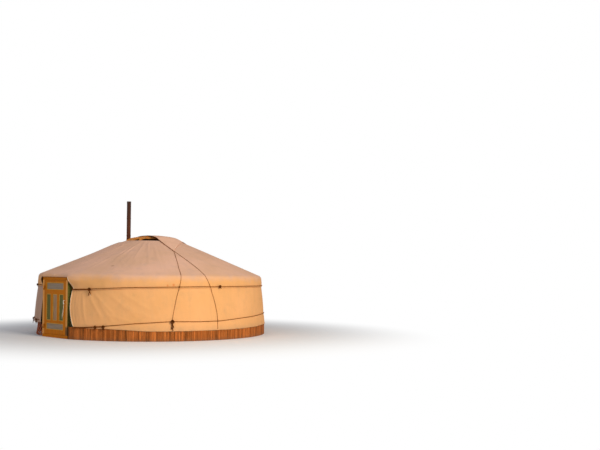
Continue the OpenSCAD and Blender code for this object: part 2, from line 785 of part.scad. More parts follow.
module flap_rope(roof, wall) {
    steps = 5;
    last = wall[len(wall) - 1];
    knots = concat([for (p = roof) on_roof(p[0], p[1])],
        on_eave(lerp(roof[len(roof) - 1][0], wall[0][0], 0.6)),
        [for (i = [0:len(wall) - 2]) for (k = [0:steps - 1]) let (p = lerp(wall[i], wall[i + 1], k / steps))
            on_wall(p[0], p[1])],
        [on_wall(last[0], last[1])]);
    sweep(knots, flap_rope_d);
}

rope_a_roof = [[-17.3, 0.33], [-20, 0.46], [-21.6, 0.574], [-22.6, 0.7], [-23.6, 0.823], [-24.4, 0.93]];
rope_a_wall = [[-25.1, 1440], [-25.9, 1290], [-26.4, 1120], [-27.1, 940], [-27.9, 760], [-28.7, 580],
               [-29.0, 470]];
rope_b_roof = [[-17, 0.325], [-15.2, 0.42], [-13.8, 0.526], [-12.8, 0.65], [-12.3, 0.78], [-11.9, 0.93]];
rope_b_wall = [[-11.0, 1440], [-9.9, 1300], [-8.7, 1140], [-7.5, 980], [-6.8, 820], [-6.5, 640], [-6.4, 450],
               [-6.6, 260]];

module flap_ropes() {
    color("#6b4a30") {
        flap_rope(rope_a_roof, rope_a_wall);
        flap_rope(rope_b_roof, rope_b_wall);
    }
}

door_threshold();
door_jamb(-1);  // door_jamb_left
door_jamb(1);  // door_jamb_right
door_lintel();
lattice_wall(0);  // lattice_wall_1
lattice_wall(1);  // lattice_wall_2
lattice_wall(2);  // lattice_wall_3
lattice_wall(3);  // lattice_wall_4
lattice_wall(4);  // lattice_wall_5
wall_felt(0);  // wall_felt_1
wall_felt(1);  // wall_felt_2
wall_felt(2);  // wall_felt_3
wall_felt(3);  // wall_felt_4
wall_felt(4);  // wall_felt_5
wall_canvas();
base_skirt(0);  // base_skirt_1
base_skirt(1);  // base_skirt_2
base_skirt(2);  // base_skirt_3
base_skirt(3);  // base_skirt_4
roof_poles(0);  // roof_poles_1
roof_poles(1);  // roof_poles_2
roof_poles(2);  // roof_poles_3
roof_poles(3);  // roof_poles_4
roof_poles(4);  // roof_poles_5
crown_rim();
crown_spokes();
roof_felt(0);  // roof_felt_1
roof_felt(1);  // roof_felt_2
roof_felt(2);  // roof_felt_3
roof_felt(3);  // roof_felt_4
roof_canvas();
crown_flap();
pipe_plate();
stove_pipe();
column(-1);  // column_left
column(1);  // column_right
upper_rope();
lower_rope();
flap_ropes();
hinge_pins();
leaf_frame();
top_panel();
bottom_panel();
centre_panel();
side_panels();
leaf_hinges();
door_handle();
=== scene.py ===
import math
import random

import bmesh
import bpy
from bpy.props import FloatProperty, FloatVectorProperty, IntProperty, PointerProperty
from mathutils import Matrix, Vector, noise


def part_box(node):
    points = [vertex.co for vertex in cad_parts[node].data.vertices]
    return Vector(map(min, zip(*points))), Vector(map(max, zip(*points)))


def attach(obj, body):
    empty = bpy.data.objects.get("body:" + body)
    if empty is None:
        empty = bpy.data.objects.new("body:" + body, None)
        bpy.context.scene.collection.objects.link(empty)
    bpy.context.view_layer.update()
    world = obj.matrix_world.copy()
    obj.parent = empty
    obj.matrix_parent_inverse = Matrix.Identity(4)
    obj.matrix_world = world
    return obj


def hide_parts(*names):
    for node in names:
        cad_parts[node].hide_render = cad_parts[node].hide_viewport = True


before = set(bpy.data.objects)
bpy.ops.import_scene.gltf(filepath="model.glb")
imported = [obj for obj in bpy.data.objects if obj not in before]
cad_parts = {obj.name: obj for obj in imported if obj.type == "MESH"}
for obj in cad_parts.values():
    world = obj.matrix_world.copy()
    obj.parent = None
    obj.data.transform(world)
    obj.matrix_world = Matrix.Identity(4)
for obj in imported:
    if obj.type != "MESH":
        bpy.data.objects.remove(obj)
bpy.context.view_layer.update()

bl_info = {
    "name": "Round felt house",
    "version": (1, 0, 0),
    "blender": (4, 5, 0),
    "location": "3D View > Sidebar > Yurt",
    "description": "Canvas, felt, reeds, ropes, paint and rust for a round felt house",
    "category": "Object",
}

HOUSE = "house"
LEAF = "door_leaf"


# Settings

def colour(name, description, default):
    return FloatVectorProperty(name=name, description=description, subtype="COLOR", size=3, min=0, max=1,
                               default=default)


def length(name, description, default, low, high):
    return FloatProperty(name=name, description=description, unit="LENGTH", default=default, min=low,
                         max=high)


class YurtCloth(bpy.types.PropertyGroup):
    wall: colour("Wall canvas", "Colour of the wall canvas", (0.86, 0.434, 0.165))
    # painted light: the roof colour stands for the canvas on the slope, duller and pinker where light grazes
    # it
    roof: colour("Roof canvas", "Colour of the roof canvas", (0.78, 0.46, 0.300))
    # painted shade: the wall canvas left of the door is greyer and bluer, as in shade lit from the sky
    wear_and_shade: colour("Shaded canvas", "Colour of the wall canvas left of the door", (0.55, 0.335, 0.23))
    dust: colour("Dust", "Colour of dust and stains", (0.42, 0.27, 0.15))
    felt: colour("Felt", "Colour of the wool felt", (0.55, 0.50, 0.42))
    thickness: length("Canvas thickness", "Thickness of the canvas that shows", 0.0025, 0.001, 0.005)
    billow: length("Billow", "How far the wall canvas bulges between the ropes", 0.012, 0.0, 0.03)
    fold: length("Fold depth", "Depth of the creases", 0.008, 0.0, 0.02)
    thread: length("Thread pitch", "Distance between threads of the weave", 0.004, 0.001, 0.01)


class YurtWood(bpy.types.PropertyGroup):
    ochre: colour("Ochre", "Paint of the door", (0.58, 0.170, 0.004))
    pale: colour("Pale ochre", "Paint of the jambs", (0.85, 0.37, 0.09))
    grey: colour("Grey-blue", "Paint of the top and bottom panels", (0.32, 0.235, 0.160))
    lilac: colour("Grey-lilac", "Paint of the middle panel", (0.40, 0.235, 0.120))
    green: colour("Green", "Paint of the side panels", (0.14, 0.130, 0.028))
    orange: colour("Orange", "Paint of the crown and poles", (0.62, 0.24, 0.05))
    red: colour("Red-orange", "Paint of the lattice and columns", (0.45, 0.10, 0.03))
    bare: colour("Bare wood", "Wood where the paint is gone", (0.30, 0.17, 0.08))
    reed: colour("Reed", "Colour of the slats of the skirt", (0.45, 0.135, 0.020))


class YurtSkirt(bpy.types.PropertyGroup):
    width: length("Slat width", "Average width of a slat", 0.034, 0.02, 0.08)
    depth: length("Slat thickness", "Average thickness of a slat", 0.011, 0.005, 0.018)
    seed: IntProperty(name="Seed", description="Seed of the slats' sizes and tones", default=7, min=0,
                      max=999)


class YurtRope(bpy.types.PropertyGroup):
    girth: length("Girth rope", "Diameter of the girth ropes", 0.018, 0.008, 0.024)
    flap: length("Flap rope", "Diameter of the flap's ropes", 0.012, 0.006, 0.02)
    dark: colour("Dark rope", "Colour of the horsehair ropes", (0.25, 0.070, 0.009))
    light: colour("Light cord", "Colour of the cotton cords", (0.72, 0.60, 0.42))


class YurtMetal(bpy.types.PropertyGroup):
    rust: colour("Rust", "Colour of the rusty pipe", (0.100, 0.027, 0.010))
    soot: colour("Soot", "Colour of the sooty pipe", (0.045, 0.022, 0.014))
    iron: colour("Iron", "Colour of the hinges", (0.11, 0.055, 0.02))
    bright: colour("Bright", "Colour of the handle", (0.80, 0.74, 0.60))


class YurtStage(bpy.types.PropertyGroup):
    distance: length("Distance", "Camera's distance from the axis", 22.147, 5, 60)
    height: length("Height", "Camera's height", 1.683, 0.2, 10)
    azimuth: FloatProperty(name="Azimuth", description="Camera's direction from the door's side",
                           subtype="ANGLE", default=math.radians(51.66))
    key: FloatProperty(name="Key light", description="Power of the key light", subtype="POWER", default=1350)
    sky: FloatProperty(name="Sky light", description="Strength of the light from all round", default=0.43)
    floor: colour("Floor", "Colour of the floor", (0.86, 0.85, 0.83))


# Small helpers

def lerp(a, b, u):
    return a + (b - a) * u


def clamp(x, low=0.0, high=1.0):
    return max(low, min(high, x))


def smooth(u):
    u = clamp(u)
    return u * u * (3 - 2 * u)


def polar(r, degrees, z):
    a = math.radians(degrees)
    return Vector((r * math.cos(a), r * math.sin(a), z))


def half_angle(half, r):
    """Degrees round the house from the door's middle to a point that far beside it, at a radius."""
    return math.degrees(math.asin(half / r))


# Sizes shared with the CAD nodes, in metres; angles go round from the X axis, from the door to the door
ROUND_START, ROUND_END = -90, 270
EAVE_R, EAVE_H = 2.930, 1.545
HEM_R, HEM_H = 3.060, 0.235
LEAN = (HEM_R - EAVE_R) / (EAVE_H - HEM_H)
COVER_R = 2.9368
CROWN_R, CROWN_H = 0.750, 2.460
TILT = (CROWN_H - EAVE_H) / (COVER_R - CROWN_R)
PITCH = math.atan(TILT)
SHOULDER = 0.060
VALANCE_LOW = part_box("roof_canvas")[0].z
WALL_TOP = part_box("wall_canvas")[1].z
DOOR_HALF = 0.550
CANVAS_HALF, CANVAS_FLARE, FLARE_H = 0.612, 0.190, 0.900
LEFT_FLARE, UPPER_FLARE = 0.02, 0.08
SKIRT_HALF = 0.580
FELT_HALF = 0.5503
VALANCE_HALF = 0.660
VALANCE_BELOW = 0.026
FRAME_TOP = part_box("door_lintel")[1].z
FRAME_FRONT = -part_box("door_lintel")[0].y
RAISED_H = 0.330
RAISED_SPAN = 34
RAISED_START = ROUND_END - half_angle(DOOR_HALF, HEM_R) - RAISED_SPAN
SKIRT_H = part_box("base_skirt_1")[1].z
RIM_R, RIM_TOP = 0.785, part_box("crown_rim")[1].z
DOME_R, DOME_RISE, DOME_POWER = 0.740, 0.160, 2.2
FLAP_REACH, FLAP_SHIFT = 1.420, 0.245
FLAP_TURN = math.radians(-7.5)
FLAP_INNER, FLAP_OUTER = DOME_R * 0.86, RIM_R + 0.095
FELT_FOOT_R, FELT_HEAD_R, FELT_HEAD_H = 3.0022, 2.8932, 1.4816
FELT_EAVE_R = 2.905
PIPE_R = 0.055
PIPE_AT = (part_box("stove_pipe")[0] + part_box("stove_pipe")[1]) / 2
PIPE_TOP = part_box("stove_pipe")[1].z

# Sizes of the scene's own pieces; the covers are measured flat at the first two radii
FLAT_R, MIDDLE_R = 3.0, 2.95
FELT_THICK = 0.010
EDGE_ROPE, FLAP_EDGE_ROPE, PIPING, HANDLE_CORD = 0.013, 0.014, 0.010, 0.008
LOWER_ROPE_START = 14.3
BEAD_WIDE, BEAD_DEEP, BEAD_ROUND = 0.012, 0.010, 0.003
PIPE_LAPS = (2.62, 3.09)

# Girth ropes: angle and height
UPPER_LINE = [(-90, 1.195), (-77.6, 1.200), (-67.6, 1.217), (-50.6, 1.262), (-31.6, 1.286), (-16.6, 1.300),
              (9.6, 1.306), (150, 1.310), (240, 1.285), (270, 1.265)]
LOWER_LINE = [(-79, 0.288), (-70, 0.310), (-59.5, 0.350), (-45.4, 0.424), (-29.8, 0.474), (-17, 0.462),
              (-6, 0.467), (7.9, 0.512), (33.5, 0.563), (120, 0.555), (200, 0.470), (236, 0.420),
              (270, 0.390)]
LINES = {"valance": UPPER_LINE, "wall": LOWER_LINE}
# Ropes from the flap: angle and distance from the crown along the covers
ROPE_A = [(-17.0, 0.74), (-18.0, 0.88), (-20.4, 1.19), (-23.2, 1.74), (-24.9, 2.27), (-25.4, 2.45),
          (-26.1, 2.63), (-27.2, 2.83), (-28.5, 3.13), (-29.2, 3.33), (-29.6, 3.46)]
ROPE_B = [(-17.0, 0.74), (-15.4, 0.97), (-13.4, 1.43), (-12.6, 1.97), (-12.8, 2.36), (-11.8, 2.47),
          (-10.6, 2.63), (-9.0, 2.88), (-7.8, 3.14), (-7.3, 3.35), (-7.4, 3.64)]
# Knots: angle, drop below the rope's line, cover that they lie on, size, lean and length of each loose end
KNOTS = [
    (-67.5, 0.016, "valance", 0.074, [(0.22, 0.12), (-0.14, 0.15)]),
    (-5.5, 0.0, "valance", 0.062, [(0.9, 0.05), (-0.8, 0.03)]),
    (-26.2, 0.0, "valance", 0.034, [(0.1, 0.02)]),
    (246, 0.01, "valance", 0.050, [(0.3, 0.05), (-0.3, 0.04)]),
    (-63.6, 0.012, "wall", 0.066, [(-0.3, 0.06), (0.3, 0.05)]),
    (-59.8, 0.016, "wall", 0.068, [(0.3, 0.08), (-0.4, 0.06)]),
    (-29.5, 0.004, "wall", 0.084, [(0.05, 0.21), (-0.10, 0.18), (0.2, 0.14)]),
    (243, 0.01, "wall", 0.056, [(0.3, 0.09), (-0.3, 0.12)]),
    (252, 0.01, "wall", 0.056, [(0.3, 0.10), (-0.3, 0.06)]),
]
# Rust and soot marks on the roof canvas: middle, size and colour
STAINS = [
    (polar(2.945, -75.0, 1.513), 0.055, (0.22, 0.10, 0.05)),
    (polar(2.968, -28.8, 1.338), 0.050, (0.72, 0.20, 0.05)),
    (polar(2.966, -31.5, 1.325), 0.040, (0.72, 0.22, 0.06)),
    (polar(2.40, -62.0, 1.775), 0.060, (0.45, 0.24, 0.15)),
]


def along(table, x):
    """The height of a line given as (angle, height) points."""
    for (x0, y0), (x1, y1) in zip(table, table[1:]):
        if x <= x1:
            return lerp(y0, y1, clamp((x - x0) / (x1 - x0)))
    return table[-1][1]


def spline(points, steps):
    """A smooth curve through (x, y) points."""
    line = [Vector(p) for p in points]
    line = [line[0] * 2 - line[1]] + line + [line[-1] * 2 - line[-2]]
    out = []
    for a, b, c, d in zip(line, line[1:], line[2:], line[3:]):
        for k in range(steps):
            t = k / steps
            out.append((b * 2 + (c - a) * t + (a * 2 - b * 5 + c * 4 - d) * t * t
                        + (b * 3 - a - c * 3 + d) * t ** 3) / 2)
    return out + [line[-2]]


def wall_radius(z):
    return EAVE_R + (EAVE_H - z) * LEAN


def roof_height(r):
    return EAVE_H + (COVER_R - r) * TILT


def canvas_edge(z, left=False):
    """Half the gap that the wall canvas leaves at the door, at a height."""
    flare = LEFT_FLARE if left else CANVAS_FLARE
    return CANVAS_HALF + (flare if z < FLARE_H else UPPER_FLARE) * ((FLARE_H - z) / (FLARE_H - HEM_H)) ** 2


def door_angle(angle):
    """Degrees from the middle of the door."""
    return abs((angle + 270) % 360 - 180)


def rough(p, scale, seed=0.0, octaves=3):
    """Smooth noise of a point, from about -1 to 1."""
    return noise.fractal(Vector(p) * scale + Vector((seed, seed * 1.7, seed * 0.3)), 1.0, 2.0, octaves)


# Materials

class Nodes:
    """Short ways to add nodes to a tree."""

    def __init__(self, tree):
        self.tree = tree

    def put(self, socket, value):
        if isinstance(value, bpy.types.NodeSocket):
            self.tree.links.new(value, socket)
        elif socket.type == "RGBA" and len(value) == 3:
            socket.default_value = (*value, 1)
        else:
            socket.default_value = value

    def add(self, kind, inputs=None, out=0, **settings):
        n = self.tree.nodes.new("ShaderNode" + kind)
        for key, value in settings.items():
            setattr(n, key, value)
        for key, value in (inputs or {}).items():
            self.put(n.inputs[key], value)
        return n.outputs[out]

    def math(self, operation, a, b=0.5):
        return self.add("Math", {0: a, 1: b}, operation=operation)

    def seen(self):
        """1 for rays from the camera, from glossy surfaces and through glass, for a white background."""
        camera, glossy, glass = (self.add("LightPath", out=f"Is {kind} Ray")
                                 for kind in ("Camera", "Glossy", "Transmission"))
        return self.math("MAXIMUM", self.math("MAXIMUM", camera, glossy), glass)


class Finish(Nodes):
    """A material and short ways to build its look."""

    def __init__(self, name, roughness=0.8, specular=0.3):
        self.mat = bpy.data.materials.new(name)
        self.mat.use_nodes = True
        super().__init__(self.mat.node_tree)
        self.skin = self.tree.nodes["Principled BSDF"]
        self.skin.inputs["Roughness"].default_value = roughness
        self.skin.inputs["Specular IOR Level"].default_value = specular

    def place(self, source="Object", scale=(1, 1, 1)):
        return self.add("Mapping", {"Vector": self.add("TexCoord", out=source), "Scale": scale})

    def axis(self, at, index):
        return self.add("SeparateXYZ", {0: at}, out=index)

    def noise(self, at, scale, detail=4.0, roughness=0.55, distortion=0.0):
        return self.add("TexNoise", {"Vector": at, "Scale": scale, "Detail": detail, "Roughness": roughness,
                                     "Distortion": distortion})

    def span(self, value, low, high, to_low=0.0, to_high=1.0):
        return self.add("MapRange", {0: value, 1: low, 2: high, 3: to_low, 4: to_high})

    def mix(self, factor, a, b, blend="MIX"):
        n = self.tree.nodes.new("ShaderNodeMix")
        n.data_type = "RGBA"
        n.blend_type = blend
        self.put(n.inputs[0], factor)
        self.put(n.inputs[6], a)
        self.put(n.inputs[7], b)
        return n.outputs[2]

    def turned(self, factor, value, base, other):
        """The value with its tint turned as base would turn to other."""
        ratio = [to / of for to, of in zip(other, base)]
        return self.mix(factor, value, self.mix(1.0, value, ratio, "MULTIPLY"))

    def bump(self, height, strength, distance):
        self.put(self.skin.inputs["Normal"],
                 self.add("Bump", {"Strength": strength, "Distance": distance, "Height": height}))

    def colour(self, value):
        self.put(self.skin.inputs["Base Color"], value)

    def roughness(self, value):
        self.put(self.skin.inputs["Roughness"], value)


def shade(c, factor, red=1.0, blue=1.0):
    return (clamp(c[0] * factor * red), clamp(c[1] * factor), clamp(c[2] * factor * blue))


# A wave texture repeats at this distance where its scale is 1
WAVE_PITCH = 0.314


def canvas_finish(name, base, dust, thread, low, streaks, painted_slope_light=None, wear_and_shade=None):
    """Cotton canvas: weave, slubs, stains and a dusty hem. Above the eave its colour turns to painted light,
    the slope's duller, pinker tint where light grazes it; left of the door to painted shade, a greyer, bluer
    canvas."""
    f = Finish(name, roughness=0.92, specular=0.12)
    cloth = f.place("UV")
    here = f.place("Object")
    wave = {"Vector": cloth, "Scale": WAVE_PITCH / thread, "Distortion": 0.6, "Detail": 1.0}
    warp, weft = (f.add("TexWave", wave, out=1, wave_type="BANDS", bands_direction=way) for way in ("X", "Y"))
    weave = f.math("MAXIMUM", warp, weft)
    slub = f.noise(f.place("UV", (14, 260, 1)), 1.0, 2.0)
    broad = f.noise(here, 0.9, 3.0)
    blotch = f.noise(here, 4.5, 5.0, 0.6)
    run = f.noise(f.place("UV", (9 if streaks else 3, 0.8, 1)), 1.0, 4.0, 0.6, 0.4)
    c = f.mix(f.span(broad, 0.35, 0.65), shade(base, 0.93, 1.0, 0.96), shade(base, 1.04, 1.0, 1.05))
    c = f.mix(f.span(blotch, 0.52, 0.80, 0.0, 0.22), c, dust)
    c = f.mix(f.span(run, 0.50, 0.78, 0.0, 0.16), c, shade(dust, 1.15))
    c = f.mix(f.span(slub, 0.3, 0.7, 0.0, 0.10), c, shade(base, 1.12))
    height = f.axis(here, 2)
    hem = f.math("MULTIPLY", f.span(height, low + 0.16, low, 0.0, 0.34), f.span(blotch, 0.3, 0.6, 0.5, 1.3))
    c = f.mix(hem, c, dust)
    c = f.mix(f.span(weave, 0.2, 0.9, 0.10, 0.0), c, shade(base, 0.6))
    if painted_slope_light:
        # painted light: above the eave the canvas turns duller and pinker, as on a slope that light only
        # grazes
        uneven = f.math("ADD", height, f.span(f.math("ADD", broad, blotch), 0.7, 1.3, -0.05, 0.05))
        c = f.turned(f.span(uneven, EAVE_H - 0.15, EAVE_H + 0.03), c, base, painted_slope_light)
        for centre, size, mark in STAINS:
            far = f.add("VectorMath", {0: here, 1: centre}, out=1, operation="DISTANCE")
            ragged = f.math("ADD", far, f.math("MULTIPLY", blotch, size * 1.2))
            c = f.mix(f.span(ragged, size * 1.5, size * 0.9, 0.0, 0.75), c, mark)
    # painted shade: left of the door the canvas turns greyer and bluer, as where it stands in shade
    if wear_and_shade:
        uneven = f.math("ADD", f.axis(here, 1), f.span(blotch, 0.3, 0.7, -0.2, 0.2))
        left = f.math("MULTIPLY", f.span(uneven, 0.2, -2.50), f.span(f.axis(here, 0), -0.3, -0.5))
        c = f.turned(left, c, base, wear_and_shade)
    f.colour(c)
    f.roughness(f.span(blotch, 0.3, 0.7, 0.86, 0.96))
    f.bump(f.math("ADD", f.math("MULTIPLY", weave, 0.5), slub), 0.35, 0.0012)
    return f.mat


def felt_finish(base):
    """Wool felt: tufts and hairs, and painted shade where it shows in the gap beside the door."""
    f = Finish("wool_felt", roughness=0.98, specular=0.05)
    here = f.place("Object")
    tuft = f.noise(here, 60, 6.0, 0.7, 1.5)
    broad = f.noise(here, 2.2, 4.0)
    hair = f.noise(f.place("Object", (1, 1, 9)), 140, 3.0, 0.6, 3.0)
    c = f.mix(f.span(broad, 0.35, 0.65), shade(base, 0.8), shade(base, 1.1))
    c = f.mix(f.span(tuft, 0.35, 0.7, 0.0, 0.5), c, shade(base, 0.62, 1.05, 0.9))
    c = f.mix(f.span(hair, 0.62, 0.7, 0.0, 0.35), c, shade(base, 0.35))
    # painted shade: the felt beside the door is dark, as in the shaded gap between the frame and the canvas
    off = f.math("ABSOLUTE", f.axis(here, 0))
    beside = f.math("MULTIPLY", f.span(off, 0.86, 0.80), f.span(f.axis(here, 1), -2.5, -2.6))
    painted_gap_shade = f.mix(f.span(tuft, 0.3, 0.7), (0.045, 0.035, 0.012), (0.10, 0.08, 0.03))
    f.colour(f.mix(beside, c, painted_gap_shade))
    f.bump(f.math("ADD", tuft, hair), 0.6, 0.004)
    return f.mat


def painted(name, base, bare, grain, wear, gloss=0.55):
    """Brushed paint on wood: brush marks along the grain, faded and chipped spots, dark fibres."""
    f = Finish(name, roughness=gloss, specular=0.06)
    here = f.place("Object")
    brush = f.noise(f.place("Object", grain), 42, 5.0, 0.6, 0.3)
    fibre = f.noise(f.place("Object", grain), 170, 3.0, 0.65)
    fade = f.noise(here, 3.2, 4.0, 0.55)
    chip = f.noise(f.place("Object", tuple(lerp(1, g, 0.7) for g in grain)), 26, 6.0, 0.72, 0.6)
    c = f.mix(f.span(brush, 0.3, 0.7), shade(base, 0.80, 1.0, 0.85), shade(base, 1.16, 1.0, 1.1))
    c = f.mix(f.span(fade, 0.45, 0.75, 0.0, 0.35), c, shade(base, 1.25, 1.0, 1.2))
    c = f.mix(f.span(fibre, 0.55, 0.75, 0.0, 0.35), c, shade(base, 0.55))
    wear_and_shade = f.span(chip, wear, wear + 0.06)
    wood = f.mix(f.span(fibre, 0.3, 0.7), shade(bare, 0.7), shade(bare, 1.3))
    f.colour(f.mix(wear_and_shade, c, wood))
    f.roughness(f.math("ADD", f.span(brush, 0.3, 0.7, gloss - 0.08, gloss + 0.08),
                       f.math("MULTIPLY", wear_and_shade, 0.25)))
    marks = f.math("ADD", f.math("MULTIPLY", brush, 0.5), f.math("MULTIPLY", fibre, 0.3))
    f.bump(f.math("SUBTRACT", marks, wear_and_shade), 0.5, 0.0016)
    return f


def paint_finish(*look):
    return painted(*look).mat


def jamb_finish(side, *look):
    """A paint with another colour on the frame's outer sides, and painted shade at the foot on the right."""
    f = painted(*look)
    paint = f.skin.inputs["Base Color"].links[0].from_socket
    here = f.place("Object")
    blotch = f.noise(here, 18, 5.0, 0.6)
    outer = f.math("GREATER_THAN", f.math("ABSOLUTE", f.axis(here, 0)), DOOR_HALF - 0.0008)
    dull = f.mix(f.span(blotch, 0.35, 0.65), shade(side, 0.5, 1.0, 0.8), shade(side, 1.1))
    # painted shade: the right jamb darkens towards its foot, where shade falls low beside the leaf
    painted_foot_shade = f.mix(f.span(blotch, 0.35, 0.65), (0.035, 0.020, 0.008), (0.11, 0.065, 0.035))
    ragged = f.math("ADD", f.axis(here, 2), f.math("MULTIPLY", blotch, 0.08))
    foot = f.math("MULTIPLY", f.span(ragged, 0.36, 0.30, 0.0, 0.85), f.span(f.axis(here, 0), 0.44, 0.48))
    f.colour(f.mix(foot, f.mix(outer, paint, dull), painted_foot_shade))
    return f.mat


def reed_finish(base):
    """Weathered slats; each has its own tone and hue in attributes of its faces."""
    f = Finish("weathered_reed", roughness=0.85, specular=0.15)
    tone = f.add("Attribute", out=2, attribute_name="tone")
    hue = f.add("Attribute", out=2, attribute_name="hue")
    here = f.place("Object")
    fibre = f.noise(f.place("Object", (1, 1, 0.035)), 260, 4.0, 0.65)
    band = f.noise(f.place("Object", (1, 1, 0.12)), 30, 4.0)
    spot = f.noise(here, 14, 5.0, 0.65)
    c = f.mix(tone, shade(base, 0.36), shade(base, 1.75, 1.0, 1.4))
    c = f.mix(f.math("MULTIPLY", hue, 0.6), c, shade(base, 0.9, 1.25, 0.85))
    c = f.mix(f.span(fibre, 0.35, 0.65, 0.0, 0.5), c, shade(base, 0.32))
    c = f.mix(f.span(band, 0.45, 0.75, 0.0, 0.4), c, shade(base, 1.9, 0.95, 1.5))
    c = f.mix(f.span(spot, 0.60, 0.72, 0.0, 0.55), c, shade(base, 0.3))
    c = f.mix(f.span(f.axis(here, 2), 0.09, 0.0, 0.0, 0.4), c, (0.17, 0.115, 0.07))
    f.colour(c)
    f.bump(f.math("ADD", fibre, f.math("MULTIPLY", band, 0.5)), 0.7, 0.002)
    return f.mat


def rope_finish(name, base):
    """Rope: hairs from its UV map, in metres along the rope, and uneven age."""
    f = Finish(name, roughness=0.9, specular=0.1)
    hair = f.noise(f.place("UV", (60, 900, 1)), 1.0, 3.0, 0.6)
    age = f.noise(f.place("Object"), 5.0, 3.0)
    c = f.mix(f.span(age, 0.35, 0.65), shade(base, 0.7), shade(base, 1.35))
    c = f.mix(f.span(hair, 0.5, 0.75, 0.0, 0.6), c, shade(base, 2.2))
    f.colour(c)
    f.bump(hair, 0.5, 0.001)
    return f.mat


def rust_finish(name, rust, soot, low, high):
    """Rusty sheet: flaking rust in several sizes, sooty towards the top."""
    f = Finish(name, roughness=0.85, specular=0.25)
    here = f.place("Object")
    big = f.noise(f.place("Object", (1, 1, 0.35)), 7, 6.0, 0.65, 0.5)
    flake = f.noise(here, 60, 6.0, 0.7)
    run = f.noise(f.place("Object", (1, 1, 0.05)), 34, 4.0, 0.6)
    c = f.mix(f.span(big, 0.38, 0.62), shade(rust, 0.62), shade(rust, 1.55, 1.0, 0.85))
    c = f.mix(f.span(flake, 0.52, 0.66, 0.0, 0.7), c, shade(rust, 2.1, 1.0, 0.7))
    c = f.mix(f.span(flake, 0.44, 0.36, 0.0, 0.7), c, shade(soot, 0.8))
    c = f.mix(f.span(run, 0.55, 0.72, 0.0, 0.45), c, shade(rust, 0.45))
    sooty = f.math("MULTIPLY", f.span(f.axis(here, 2), low, high, 0.0, 0.85),
                   f.span(big, 0.25, 0.6, 0.6, 1.2))
    f.colour(f.mix(sooty, c, soot))
    f.roughness(f.span(flake, 0.35, 0.65, 0.7, 0.95))
    f.bump(f.math("ADD", flake, f.math("MULTIPLY", big, 0.6)), 0.55, 0.002)
    return f.mat


def metal_finish(name, base, roughness, metallic):
    """Worn and smeared metal."""
    f = Finish(name, roughness=roughness, specular=0.5)
    f.skin.inputs["Metallic"].default_value = metallic
    wear = f.noise(f.place("Object"), 90, 5.0, 0.6)
    smear = f.noise(f.place("Object"), 14, 4.0)
    c = f.mix(f.span(wear, 0.35, 0.65), shade(base, 0.7), shade(base, 1.15))
    f.colour(f.mix(f.span(smear, 0.5, 0.7, 0.0, 0.4), c, shade(base, 0.5, 1.1, 0.8)))
    f.roughness(f.span(smear, 0.3, 0.7, roughness - 0.1, roughness + 0.15))
    f.bump(wear, 0.25, 0.0006)
    return f.mat


# Meshes

def finished(name, bm, mat, body=HOUSE, rounded=True):
    """Turn a bmesh into a piece that rides on a body."""
    mesh = bpy.data.meshes.new(name)
    bm.to_mesh(mesh)
    bm.free()
    mesh.materials.append(mat)
    if rounded:
        mesh.shade_smooth()
    obj = bpy.data.objects.new(name, mesh)
    bpy.context.scene.collection.objects.link(obj)
    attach(obj, body)
    return obj


def cloth_grid(columns, rows, place, span_u, span_v, ends=0.0):
    """A grid of cloth moved into place, with a UV map in metres; ends draws its columns closer there."""
    bm = bmesh.new()
    bmesh.ops.create_grid(bm, x_segments=columns, y_segments=rows, size=0.5)
    for v in bm.verts:
        v.co.x -= ends * math.sin(2 * math.pi * (v.co.x + 0.5))
    uv = bm.loops.layers.uv.new("cloth")
    for face in bm.faces:
        for loop in face.loops:
            loop[uv].uv = ((loop.vert.co.x + 0.5) * span_u, (loop.vert.co.y + 0.5) * span_v)
    for v in bm.verts:
        v.co = place(v.co.x + 0.5, v.co.y + 0.5)
    return bm


def thicken(obj, thickness):
    """Give a sheet its thickness, inwards."""
    m = obj.modifiers.new("thickness", "SOLIDIFY")
    m.thickness = thickness
    m.offset = -1.0
    m.use_even_offset = True


def split_along(bm, point, normal, inside):
    """Split the faces that 'inside' picks along a plane."""
    faces = [f for f in bm.faces if inside(f.calc_center_median())]
    geom = set(faces)
    for f in faces:
        geom.update(f.edges)
        geom.update(f.verts)
    bmesh.ops.bisect_plane(bm, geom=list(geom), plane_co=point, plane_no=normal, dist=1e-5)


